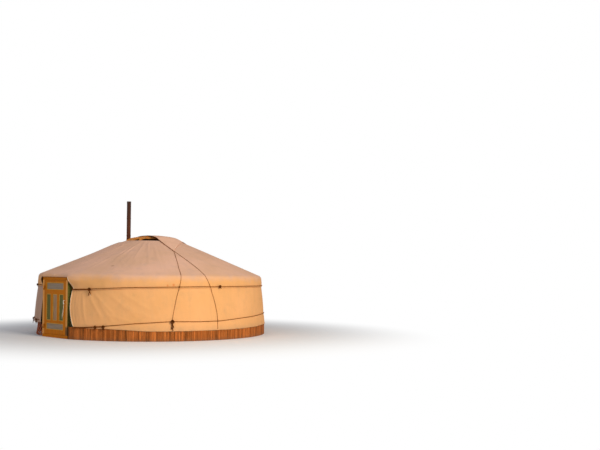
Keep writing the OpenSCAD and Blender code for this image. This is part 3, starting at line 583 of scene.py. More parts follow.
def tube(path, width, sides=8, lobes=0, lobe_depth=0.0, twist=0.0, ends=True, radius=None):
    """A rope along a path: a ring extruded from point to point, with turning strands if lobes is set."""
    bm = bmesh.new()
    uv = bm.loops.layers.uv.new("rope")
    ring = bmesh.ops.create_circle(bm, segments=sides, radius=1.0, cap_ends=False)["verts"]
    walked, frames = 0.0, []
    normal = None
    for i, p in enumerate(path):
        t = (path[min(i + 1, len(path) - 1)] - path[max(i - 1, 0)]).normalized()
        if normal is None:
            normal = t.orthogonal().normalized()
        normal = (normal - t * normal.dot(t)).normalized()
        if i:
            walked += (path[i] - path[i - 1]).length
        frames.append((p, normal.copy(), t.cross(normal), walked))
    shape = [v.co.copy() for v in ring]

    def place_ring(verts, i):
        p, n, b, s = frames[i]
        turn = s * twist
        size = width / 2 * (radius(i / (len(path) - 1)) if radius else 1.0)
        for v, c in zip(verts, shape):
            a = math.atan2(c.y, c.x)
            r = size * (1 - lobe_depth + lobe_depth * math.cos(lobes * a)) if lobes else size
            v.co = p + n * (r * math.cos(a + turn)) + b * (r * math.sin(a + turn))

    place_ring(ring, 0)
    first = list(ring)
    for i in range(1, len(path)):
        edges = [bm.edges.get((ring[k], ring[(k + 1) % sides])) for k in range(sides)]
        made = bmesh.ops.extrude_edge_only(bm, edges=edges)["geom"]
        faces = [f for f in made if isinstance(f, bmesh.types.BMFace)]
        above = {v: o for f in faces for v in f.verts if v in ring
                 for o in f.verts if o not in ring and bm.edges.get((v, o))}
        following = [above[v] for v in ring]
        for f in faces:
            for loop in f.loops:
                back = loop.vert in ring
                k = (ring if back else following).index(loop.vert)
                loop[uv].uv = (frames[i - 1 if back else i][3], k / sides * width * 3.14)
        place_ring(following, i)
        ring = following
    if ends:
        bmesh.ops.contextual_create(bm, geom=first)
        bmesh.ops.contextual_create(bm, geom=ring)
    bmesh.ops.recalc_face_normals(bm, faces=bm.faces)
    return bm


def strands(path, width, twist, lobe_depth=0.16):
    """A rope of three strands along a path, with its turns in radians a metre."""
    return tube(path, width, sides=9, lobes=3, lobe_depth=lobe_depth, twist=twist)


def join(into, other):
    """Move the shape of one bmesh into another."""
    mesh = bpy.data.meshes.new("part")
    other.to_mesh(mesh)
    other.free()
    into.from_mesh(mesh)
    bpy.data.meshes.remove(mesh)


def joined(parts):
    """The shapes of several bmeshes in the first of them."""
    first, *others = parts
    for other in others:
        join(first, other)
    return first


def linked_edges(verts):
    """The edges at some points, each once and in a fixed order."""
    return list(dict.fromkeys(e for v in verts for e in v.link_edges))


def block(bm, centre, size, bevel):
    """A box with rounded edges."""
    made = bmesh.ops.create_cube(bm, size=1.0)["verts"]
    bmesh.ops.scale(bm, verts=made, vec=size)
    got = bmesh.ops.bevel(bm, geom=linked_edges(made), offset=bevel, segments=2, profile=0.5,
                          affect="EDGES", material=-1)
    made = list({v for f in got["faces"] for v in f.verts} | {v for v in made if v.is_valid})
    bmesh.ops.translate(bm, verts=made, vec=centre)


def dress(mat, *nodes):
    """Give CAD nodes a better material."""
    for node in nodes:
        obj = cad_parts[node]
        for s in obj.material_slots:
            s.material = mat
        if not obj.material_slots:
            obj.data.materials.append(mat)


# The surfaces of the covers

CREASES = [
    # on the wall: (angle, height) to (angle, height), depth as a share of the fold depth, width
    ((-72, 1.16), (-69, 0.40), 0.9, 0.035),
    ((-69, 1.14), (-61, 0.52), 1.1, 0.045),
    ((-66, 1.15), (-55, 0.60), 1.0, 0.040),
    ((-63, 0.95), (-55, 0.40), 0.9, 0.050),
    ((-58, 1.10), (-44, 0.55), 1.1, 0.055),
    ((-53, 1.16), (-38, 0.70), 0.9, 0.050),
    ((-58, 0.62), (-47, 0.44), 0.9, 0.040),
    ((-50, 0.80), (-37, 0.52), 0.7, 0.050),
    ((-40, 1.12), (-35, 0.58), 0.5, 0.060),
    ((-70, 0.375), (-56, 0.400), 0.8, 0.022),
    ((-24, 1.15), (-22, 0.55), 0.4, 0.050),
    ((-4, 1.15), (-5, 0.50), 0.5, 0.060),
    ((12, 1.20), (10, 0.60), 0.5, 0.060),
    ((70, 1.15), (62, 0.60), 0.8, 0.050),
    ((128, 1.15), (135, 0.65), 0.8, 0.050),
    ((182, 1.15), (176, 0.60), 0.8, 0.050),
    ((222, 1.10), (216, 0.50), 0.9, 0.050),
]


def crease(p, lines):
    """Ridges along straight lines in a flattened cover."""
    total = 0.0
    for a, b, depth, width in lines:
        a, b = Vector(a), Vector(b)
        d = b - a
        t = clamp((p - a).dot(d) / d.length_squared)
        off = (p - (a + d * t)).length
        if off < 3 * width:
            fade = smooth(min(t, 1 - t) * 5 + 0.15)
            total += depth * fade * math.exp(-(off / width) ** 2)
    return total


WALL_LINES = [((math.radians(a0) * FLAT_R, z0), (math.radians(a1) * FLAT_R, z1), depth, width)
              for (a0, z0), (a1, z1), depth, width in CREASES]


# Where the wall canvas is drawn together beside the door, and how far that reaches, in degrees
DRAWN_AT, DRAWN_SPAN = (-78, 258), 9
# Its upright folds beside the door: how far they reach, how fast they fade, and their pitch, in metres
FOLDS_REACH, FOLDS_FADE, FOLDS_PITCH = 0.6, 0.13, 0.075


def wall_bulge(angle, z, cloth):
    """How far the wall canvas stands out of the cone at an angle and a height."""
    lower = along(LOWER_LINE, angle)
    upper = VALANCE_LOW - 0.02
    x = math.radians(angle) * FLAT_R
    u = clamp((z - lower) / (upper - lower))
    belly = math.sin(math.pi * u) if z > lower else 0.0
    pinch = 1 - math.exp(-((z - lower) / 0.03) ** 2)
    near_door = sum(math.exp(-((angle - side) / DRAWN_SPAN) ** 2) for side in DRAWN_AT)
    out = cloth.billow * belly * (0.55 + 0.5 * rough((x * 0.5, z * 0.3, 0), 1.0, 3.1))
    out += 0.003 * near_door * belly
    fine = rough((x * 1.0, z * 0.35, 0), 3.2, 9.2, 4) * 0.45
    fine += rough((x * 1.5, z * 0.5, 0), 8.0, 2.2, 3) * 0.18
    out += cloth.fold * fine * pinch * (0.5 + 1.2 * near_door)
    out += cloth.fold * crease(Vector((x, z)), WALL_LINES) * pinch
    below = clamp((lower - z) / 0.1)
    out += cloth.fold * below * (0.6 + 0.8 * rough((x * 2.4, 0, 0), 1.0, 5.5, 2))
    edge = math.radians(door_angle(angle)) * wall_radius(z) - canvas_edge(z, angle > 90) * 1.008
    if edge < FOLDS_REACH:
        fade = math.exp(-max(edge, 0) / FOLDS_FADE) * smooth((z - HEM_H) / 0.2)
        fade *= smooth((upper + 0.05 - z) / 0.15)
        out += cloth.fold * 0.6 * fade * math.cos(edge * 2 * math.pi / (FOLDS_PITCH + 0.05 * edge))
    return out


def hem_height(angle):
    """Height of the wall canvas hem: raised beside the door, a little wavy all round."""
    x = math.radians(angle) * FLAT_R
    z = HEM_H + 0.006 + 0.006 * rough((x, 0, 0), 0.8, 4.0) + 0.004 * rough((x, 0, 0), 4.0, 1.0)
    z += 0.045 * smooth((-38 - angle) / 22) + 0.030 * smooth((angle + 12) / 50)
    raised = smooth((angle - RAISED_START) / 2.2)
    return lerp(z, RAISED_H + 0.012 * math.sin(x * 9) + 0.01 * math.sin(x * 23 + 1), raised)


def cover_section(steps=22):
    """The roof cover's outline from the crown to the valance's hem, as (radius, height) points."""
    corner = Vector((COVER_R, EAVE_H))
    a = corner + SHOULDER * Vector((-math.cos(PITCH), math.sin(PITCH)))
    b = corner + SHOULDER * Vector((LEAN, -1))
    pts = [Vector((CROWN_R - 0.006, roof_height(CROWN_R - 0.006)))]
    for i in range(steps + 1):
        u = i / steps
        pts.append(a * (1 - u) ** 2 + corner * 2 * u * (1 - u) + b * u * u)
    pts.append(Vector((COVER_R + (EAVE_H - VALANCE_LOW) * LEAN, VALANCE_LOW)))
    return pts


def distances(points):
    """How far along their line the points lie."""
    out = [0.0]
    for p, q in zip(points, points[1:]):
        out.append(out[-1] + (q - p).length)
    return out


SECTION = cover_section()
SECTION_AT = distances(SECTION)
ROOF_RUN = SECTION_AT[1]
COVER_RUN = SECTION_AT[-1]


def on_section(s):
    """Radius, height and outward direction at a distance along the roof cover's outline."""
    s = clamp(s, 0.0, COVER_RUN)
    for i in range(1, len(SECTION)):
        if s <= SECTION_AT[i] + 1e-9:
            u = (s - SECTION_AT[i - 1]) / (SECTION_AT[i] - SECTION_AT[i - 1])
            p = SECTION[i - 1].lerp(SECTION[i], u)
            d = (SECTION[i] - SECTION[i - 1]).normalized()
            return p.x, p.y, Vector((-d.y, d.x))


ROOF_CREASES = [
    # on the roof: (angle, share of the way down) to (angle, share), depth as a share, width
    ((-58, 0.03), (-66, 0.62), 1.2, 0.028),
    ((-52, 0.03), (-52, 0.60), 1.3, 0.030),
    ((-47, 0.05), (-41, 0.70), 1.0, 0.032),
    ((-78, 0.02), (-88, 0.85), 1.3, 0.030),
    ((-66, 0.25), (-75, 0.92), 0.9, 0.040),
    ((-70, 0.55), (-84, 0.90), 1.0, 0.035),
    ((-62, 0.60), (-54, 0.78), 0.8, 0.030),
    ((-40, 0.06), (-33, 0.95), 0.8, 0.036),
    ((-28, 0.10), (-22, 0.90), 0.7, 0.040),
    ((-62, 0.85), (-40, 0.90), 0.5, 0.045),
    ((-5, 0.35), (0, 0.95), 0.7, 0.050),
    ((28, 0.30), (24, 0.95), 0.8, 0.040),
    ((60, 0.20), (57, 0.85), 1.0, 0.036),
    ((84, 0.10), (90, 0.80), 0.9, 0.036),
    ((105, 0.15), (110, 0.90), 0.9, 0.040),
    ((132, 0.10), (127, 0.85), 1.0, 0.036),
    ((160, 0.20), (154, 0.85), 1.1, 0.035),
    ((184, 0.05), (188, 0.80), 1.0, 0.036),
    ((206, 0.10), (211, 0.90), 1.0, 0.036),
    ((232, 0.05), (228, 0.85), 1.1, 0.035),
    ((252, 0.05), (258, 0.85), 1.0, 0.035),
]


def roof_flat(angle, share):
    r = lerp(CROWN_R, COVER_R, share) / math.cos(PITCH)
    a = math.radians(angle) * math.cos(PITCH)
    return Vector((r * math.cos(a), r * math.sin(a)))


ROOF_LINES = [(roof_flat(*a), roof_flat(*b), depth, width) for a, b, depth, width in ROOF_CREASES]


def roof_bulge(angle, s, cloth):
    """How far the roof cover stands out of its outline."""
    x = math.radians(angle)
    share = s / ROOF_RUN
    if share < 1:
        # the cover sags between the poles, and it stands higher beside the crown at the photo's left
        sag = -0.004 * math.sin(math.pi * clamp(share)) * (1 + math.cos(x * 76)) * 0.5
        out = sag + cloth.fold * 0.5 * rough((math.cos(x) * 2.2, math.sin(x) * 2.2, share * 0.5), 1.6, 7.0, 4)
        out += cloth.fold * 1.2 * crease(roof_flat(angle, share), ROOF_LINES)
        out += 0.006 * smooth(share * 3)
        rise = 0.026 * math.exp(-((angle - 228) / 26) ** 2)
        out += rise * smooth(share * 12) * smooth((0.42 - share) / 0.34)
        return out * smooth(share * 12)
    z = on_section(s)[1]
    rope = along(UPPER_LINE, angle)
    belly = smooth((EAVE_H + 0.02 - z) / 0.1) * (1 - math.exp(-((z - rope) / 0.028) ** 2))
    out = 0.006 + cloth.fold * belly * (0.55 + 0.75 * rough((x * FLAT_R, z * 0.6, 0), 1.6, 8.0, 4))
    out += cloth.fold * 0.5 * belly * rough((x * FLAT_R * 1.4, z * 0.3, 0), 7.0, 5.0, 3)
    if z < rope:
        wave = 0.5 + 0.9 * rough((x * FLAT_R * 2, 0, 0), 1.3, 2.0, 2)
        out += cloth.fold * clamp((rope - z) / 0.05) * wave
    else:
        out = lerp(out, 0.001, math.exp(-((z - rope) / 0.02) ** 2))
    return out


def door_pull(angle, s):
    """How far the door frame pushes the roof cover out round its upper corners."""
    off = door_angle(angle)
    if off > 30:
        return 0.0
    inner = half_angle(DOOR_HALF, EAVE_R)
    r, z, _ = on_section(s)
    reach = (FRAME_FRONT + 0.006) / math.cos(math.radians(min(off, inner))) - COVER_R
    side = 1 - smooth((off - inner) / 15)
    high = smooth((s / ROOF_RUN - 0.84) / 0.14) if s < ROOF_RUN else smooth((z - 1.22) / 0.22)
    return max(0.0, reach) * side * high


def wall_point(angle, z, cloth, out=0.0):
    return polar(wall_radius(z) + wall_bulge(angle, z, cloth) + out, angle, z)


def roof_point(angle, s, cloth, out=0.0):
    r, z, n = on_section(s)
    d = roof_bulge(angle, s, cloth) + out
    return polar(r + n.x * d + door_pull(angle, s), angle, z + n.y * d)


def cover_point(lying, angle, z, cloth, out):
    """A point on the valance or on the wall canvas, at a height."""
    if lying == "valance":
        return roof_point(angle, COVER_RUN - (z - VALANCE_LOW), cloth, out)
    return wall_point(angle, z, cloth, out)


# Operators

class YURT_OT_stage(bpy.types.Operator):
    """Make the floor, the light and the camera"""
    bl_idname = "yurt.stage"
    bl_label = "Stage"

    def execute(self, context):
        scene = context.scene
        stage = scene.yurt_stage
        scene.view_settings.view_transform = "Standard"
        # all in pixels of the picture but the roll; the camera is nearly level, so its frame is shifted up
        wide, high = 600, 450
        focal, middle, horizon, column, roll = 800.0, 275.5, 272.25, 152.69, 0.01423
        a = stage.azimuth
        turn = Matrix.Rotation(math.atan((column - wide / 2) / focal), 3, "Z")
        fwd = turn @ Vector((-math.sin(a), math.cos(a), 0))
        right = Vector((fwd.y, -fwd.x, 0))
        up = Vector((0, 0, 1))
        p = math.atan((horizon - middle) / focal)
        look = fwd * math.cos(p) + up * math.sin(p)
        over = up * math.cos(p) - fwd * math.sin(p)
        side = right * math.cos(roll) + over * math.sin(roll)
        top = over * math.cos(roll) - right * math.sin(roll)
        data = bpy.data.cameras.new("camera")
        data.sensor_width = 36
        data.lens = data.sensor_width * focal / wide
        data.shift_y = (middle - high / 2) / wide
        data.clip_end = 400
        camera = bpy.data.objects.new("camera", data)
        at = Vector((stage.distance * math.sin(a), -stage.distance * math.cos(a), stage.height))
        camera.matrix_world = Matrix((
            (side.x, top.x, -look.x, at.x),
            (side.y, top.y, -look.y, at.y),
            (side.z, top.z, -look.z, at.z),
            (0, 0, 0, 1)))
        scene.collection.objects.link(camera)
        scene.camera = camera

        bm = bmesh.new()
        bmesh.ops.create_circle(bm, segments=96, radius=160, cap_ends=True)
        f = Finish("studio_floor", roughness=0.95, specular=0.1)
        grain = f.noise(f.place("Object"), 3.0, 3.0)
        f.colour(f.mix(f.span(grain, 0.3, 0.7), shade(stage.floor, 0.985), stage.floor))
        away = f.add("VectorMath", {0: f.place("Object")}, out=1, operation="LENGTH")
        fade = f.add("MapRange", {0: away, 1: 3.6, 2: 8.0, 3: 0.0, 4: 1.0}, interpolation_type="SMOOTHSTEP")
        white = f.add("Emission", {"Color": (1, 1, 1), "Strength": 1.0})
        f.put(f.tree.nodes["Material Output"].inputs[0],
              f.add("MixShader", {0: f.math("MULTIPLY", fade, f.seen()), 1: f.skin.outputs[0], 2: white}))
        mesh = bpy.data.meshes.new("floor")
        bm.to_mesh(mesh)
        bm.free()
        mesh.materials.append(f.mat)
        floor = bpy.data.objects.new("floor", mesh)
        scene.collection.objects.link(floor)

        world = bpy.data.worlds.new("studio")
        scene.world = world
        world.use_nodes = True
        sky = Nodes(world.node_tree)
        back = sky.tree.nodes["Background"]
        sky.put(back.inputs["Color"], (0.86, 0.90, 1.0))
        sky.put(back.inputs["Strength"], stage.sky)
        plain = sky.add("Background", {"Color": (1, 1, 1)})
        sky.put(sky.tree.nodes["World Output"].inputs[0],
                sky.add("MixShader", {0: sky.seen(), 1: back.outputs[0], 2: plain}))

        def lamp(name, azimuth, elevation, far, size, power, tint):
            data = bpy.data.lights.new(name, "AREA")
            data.shape = "DISK"
            data.size = size
            data.energy = power
            data.color = tint
            obj = bpy.data.objects.new(name, data)
            z, e = math.radians(azimuth), math.radians(elevation)
            away = Vector((math.sin(z) * math.cos(e), -math.cos(z) * math.cos(e), math.sin(e)))
            obj.location = Vector((0, 0, 1.2)) + away * far
            obj.rotation_euler = (-away).to_track_quat("-Z", "Y").to_euler()
            scene.collection.objects.link(obj)

        mine = math.degrees(a)
        lamp("key_light", mine + 28, 24, 16, 6, stage.key, (1.0, 0.91, 0.78))
        lamp("fill_light", mine - 40, 35, 18, 12, stage.key * 0.12, (0.92, 0.95, 1.0))
        return {"FINISHED"}


class YURT_OT_wall_cover(bpy.types.Operator):
    """Make the wall canvas with its billows, creases and hem"""
    bl_idname = "yurt.wall_cover"
    bl_label = "Wall canvas"

    def execute(self, context):
        cloth = context.scene.yurt_cloth
        # the canvas left of the door gets painted shade
        mat = canvas_finish("wall_canvas", cloth.wall, cloth.dust, cloth.thread, HEM_H, True,
                            wear_and_shade=cloth.wear_and_shade)

        def place(u, v):
            z = lerp(HEM_H, WALL_TOP, v)
            # the edge's place and the hem's height depend on each other, so they are found in three steps
            for _ in range(3):
                start, end = (half_angle(canvas_edge(z, left), wall_radius(z)) for left in (False, True))
                angle = lerp(ROUND_START + start, ROUND_END - end, u)
                low = hem_height(angle)
                z = lerp(low, WALL_TOP, v)
            hem = 0.003 * math.exp(-((z - low) / 0.035) ** 8) if z - low < 0.06 else 0.0
            roll = 0.004 * math.exp(-(min(u, 1 - u) * 18.0 / 0.02) ** 2)
            return wall_point(angle, z, cloth, hem + roll)

        door_span = 23
        width = math.radians(360 - door_span) * FLAT_R
        bm = cloth_grid(800, 52, place, width, WALL_TOP - HEM_H, 0.09)
        obj = finished("wall_cover", bm, mat)
        thicken(obj, cloth.thickness)
        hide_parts("wall_canvas")
        return {"FINISHED"}


class YURT_OT_roof_cover(bpy.types.Operator):
    """Make the roof canvas with its creases, valance and hem"""
    bl_idname = "yurt.roof_cover"
    bl_label = "Roof canvas"

    def execute(self, context):
        cloth = context.scene.yurt_cloth
        # the canvas turns to the roof colour above the eave: painted light on the slope
        mat = canvas_finish("roof_canvas", cloth.wall, cloth.dust, cloth.thread, VALANCE_LOW - 0.1, False,
                            painted_slope_light=cloth.roof)

        def place(u, v):
            angle = lerp(ROUND_START, ROUND_END, u)
            end = COVER_RUN - (along(UPPER_LINE, angle) - VALANCE_BELOW - VALANCE_LOW)
            s = end * (1 - v)
            hem = 0.002 if end - s < 0.02 else 0.0
            return roof_point(angle, s, cloth, hem)

        bm = cloth_grid(480, 88, place, 2 * math.pi * 2.2, COVER_RUN)
        seam = [v for v in bm.verts if abs(v.co.x) < 1e-3 and v.co.y < 0]
        bmesh.ops.remove_doubles(bm, verts=seam, dist=1e-4)

        # the valance is cut away over the door, a little above the frame
        low, high = VALANCE_LOW - 0.01, FRAME_TOP + 0.008
        lean = Vector((high - low, 0, VALANCE_HALF - FELT_HALF)).normalized()

        def near_door(c):
            return c.y < -2.4 and abs(c.x) < 1.0

        def over_door(c):
            half = lerp(VALANCE_HALF, FELT_HALF, (c.z - low) / (high - low))
            return c.y < -2.4 and c.z < high and abs(c.x) < half

        for side in (-1, 1):
            normal = Vector((side * lean.x, 0, lean.z))
            split_along(bm, Vector((side * VALANCE_HALF, 0, low)), normal, near_door)
        split_along(bm, Vector((0, 0, high)), Vector((0, 0, 1)), near_door)
        gone = [f for f in bm.faces if over_door(f.calc_center_median())]
        bmesh.ops.delete(bm, geom=gone, context="FACES")
        obj = finished("roof_cover", bm, mat)
        thicken(obj, cloth.thickness)
        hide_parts("roof_canvas")
        return {"FINISHED"}


def dome_height(r):
    """Top of the crown's spokes."""
    return RIM_TOP + DOME_RISE * max(0.0, 1 - min(1.0, r / DOME_R) ** DOME_POWER) ** (1 / DOME_POWER)


def flap_height(r):
    """Underside of the flap: on the spokes, then straight down to the roof, then on the roof."""
    if r < FLAP_INNER:
        return dome_height(r)
    if r < FLAP_OUTER:
        u = (r - FLAP_INNER) / (FLAP_OUTER - FLAP_INNER)
        return lerp(dome_height(FLAP_INNER), roof_height(FLAP_OUTER), u)
    return roof_height(r)


class YURT_OT_crown_flap(bpy.types.Operator):
    """Make the folded canvas flap over the back half of the crown"""
    bl_idname = "yurt.crown_flap"
    bl_label = "Crown flap"

    def execute(self, context):
        cloth = context.scene.yurt_cloth
        # the flap takes the roof colour, with the slope's painted light, a little lighter
        mat = canvas_finish("flap_canvas", shade(cloth.roof, 1.08), cloth.dust, cloth.thread, 1.2, False)
        half = Vector((math.cos(FLAP_TURN), math.sin(FLAP_TURN), 0)) * FLAP_REACH
        across = Vector((-math.sin(FLAP_TURN), math.cos(FLAP_TURN), 0))
        deep = across * FLAP_REACH
        middle = across * -FLAP_SHIFT

        def layer(lift):
            def place(u, v):
                # the back corner gathers the rows, so the square grid becomes a triangle
                v = v ** 0.9
                p = middle + half.lerp(-half, lerp(v / 2, 1 - v / 2, u)) + deep * v
                r = p.length
                z = flap_height(r) + 0.012 + lift
                ridge = rough((p.x, p.y, lift * 9), 2.2, 6.0, 4) * 0.010
                pull = 0.006 * math.sin(math.atan2(p.y, p.x) * 19 + 3 * rough((p.x, p.y, 0), 1.5, 2.0))
                z += (ridge + pull * smooth((r - 0.75) / 0.4)) * smooth(lift / 0.01 + 0.3)
                return Vector((p.x, p.y, z))
            return place

        bm = cloth_grid(150, 90, layer(0.010), 2 * FLAP_REACH, FLAP_REACH)
        under = cloth_grid(150, 90, layer(0.0), 2 * FLAP_REACH, FLAP_REACH)
        bmesh.ops.reverse_faces(under, faces=under.faces)
        join(bm, under)
        bmesh.ops.remove_doubles(bm, verts=bm.verts, dist=1e-5)
        bmesh.ops.bridge_loops(bm, edges=[e for e in bm.edges if e.is_boundary])
        bmesh.ops.recalc_face_normals(bm, faces=bm.faces)
        obj = finished("flap_cloth", bm, mat)
        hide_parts("crown_flap")

        rope = context.scene.yurt_rope
        path = [middle + half.lerp(-half, i / 90) - across * 0.006 for i in range(91)]
        path = spread([Vector((p.x, p.y, flap_height(p.length) + 0.018)) for p in path], 0.009)
        cord = strands(path, FLAP_EDGE_ROPE, 90, 0.18)
        finished("flap_edge_rope", cord, rope_finish("flap_edge_rope", rope.dark))
        return {"FINISHED"}


class YURT_OT_felts(bpy.types.Operator):
    """Make the wool felts inside the covers"""
    bl_idname = "yurt.felts"
    bl_label = "Felts"

    def execute(self, context):
        cloth = context.scene.yurt_cloth
        mat = felt_finish(cloth.felt)
        start = half_angle(FELT_HALF, MIDDLE_R)
        first, last = ROUND_START + start, ROUND_END - start

        def wall(u, v):
            angle = lerp(first, last, u)
            low = RAISED_H + 0.02 if angle > RAISED_START else 0.0015
            z = lerp(low, FELT_HEAD_H, v)
            r = lerp(FELT_FOOT_R, FELT_HEAD_R, z / FELT_HEAD_H) + 0.012
            return polar(r + 0.004 * rough((angle * 0.05, z, 0), 3.0, 1.0), angle, z)

        width = math.radians(last - first) * MIDDLE_R
        obj = finished("wall_felts", cloth_grid(300, 20, wall, width, FELT_HEAD_H), mat)
        thicken(obj, FELT_THICK)
        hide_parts(*[f"wall_felt_{i}" for i in range(1, 6)])

        below_canvas = 0.0068 + 0.014

        def roof(u, v):
            angle = lerp(ROUND_START, ROUND_END, u)
            r = lerp(CROWN_R + 0.002, FELT_EAVE_R, 1 - v)
            p = polar(r, angle, roof_height(r) - below_canvas / math.cos(PITCH))
            p.z += 0.003 * rough((p.x, p.y, 0), 2.5, 3.0)
            return p

        bm = cloth_grid(240, 24, roof, 14.0, 2.3)
        bmesh.ops.remove_doubles(bm, verts=bm.verts, dist=1e-4)
        obj = finished("roof_felts", bm, mat)
        thicken(obj, FELT_THICK)
        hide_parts(*[f"roof_felt_{i}" for i in range(1, 5)])
        return {"FINISHED"}


class YURT_OT_skirt(bpy.types.Operator):
    """Make the slats of the base skirt"""
    bl_idname = "yurt.skirt"
    bl_label = "Base skirt"

    def execute(self, context):
        skirt = context.scene.yurt_skirt
        mat = reed_finish(context.scene.yurt_wood.reed)
        dice = random.Random(skirt.seed)
        spare = 0.3
        angle = ROUND_START + half_angle(SKIRT_HALF, HEM_R) + spare
        end = RAISED_START - spare
        outer = HEM_R - 0.008
        bm = bmesh.new()
        tone = bm.faces.layers.float.new("tone")
        hue = bm.faces.layers.float.new("hue")
        while angle < end:
            wide = skirt.width * dice.choice((0.5, 0.7, 0.9, 1.1, 1.5)) * dice.uniform(0.85, 1.15)
            deep = skirt.depth * dice.uniform(0.8, 1.25)
            tall = max(SKIRT_H - 0.012, hem_height(angle) + 0.016) - dice.uniform(0.0, 0.016)
            step = math.degrees(wide / outer)
            r = outer - deep / 2 - dice.uniform(0.0, 0.004)
            before = len(bm.faces)
            made = bmesh.ops.create_cube(bm, size=1.0)["verts"]
            bmesh.ops.scale(bm, verts=made, vec=(deep, wide * 0.94, tall))
            edges = [e for e in linked_edges(made) if abs(e.verts[0].co.z - e.verts[1].co.z) > tall / 2]
            bmesh.ops.bevel(bm, geom=edges, offset=deep * 0.28, segments=2, profile=0.5, affect="EDGES",
                            material=-1)
            bm.faces.ensure_lookup_table()
            faces = bm.faces[before:]
            light = dice.choice((0.05, 0.25, 0.4, 0.5, 0.6, 1.0)) * dice.uniform(0.8, 1.0)
            red = dice.random() ** 2
            # the points stay in the order of their faces, so each run gives them the same draws
            made = list(dict.fromkeys(v for f in faces for v in f.verts))
            for f in faces:
                f[tone] = light
                f[hue] = red
            lean = dice.uniform(-0.012, 0.012)
            for v in made:
                if v.co.z > 0:
                    v.co.z += dice.uniform(-0.003, 0.0)
            bmesh.ops.rotate(bm, verts=made, matrix=Matrix.Rotation(lean, 3, "X"))
            bmesh.ops.translate(bm, verts=made, vec=(r, 0, tall / 2 + 0.001))
            bmesh.ops.rotate(bm, verts=made, matrix=Matrix.Rotation(math.radians(angle + step / 2), 3, "Z"))
            angle += step
        obj = finished("skirt_slats", bm, mat, rounded=False)
        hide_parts(*[f"base_skirt_{i}" for i in range(1, 5)])
        return {"FINISHED"}


def spread(points, step):
    """Points at equal steps along a line of points."""
    out, carry = [points[0].copy()], 0.0
    for p, q in zip(points, points[1:]):
        gap = (q - p).length
        at = step - carry
        while at < gap:
            out.append(p.lerp(q, at / gap))
            at += step
        carry = gap - (at - step)
    out.append(points[-1].copy())
    return out


def relaxed(points, passes):
    """The line with its corners rounded off."""
    for _ in range(passes):
        points = [points[0]] + [(points[i - 1] + points[i] * 2 + points[i + 1]) / 4
                                for i in range(1, len(points) - 1)] + [points[-1]]
    return points


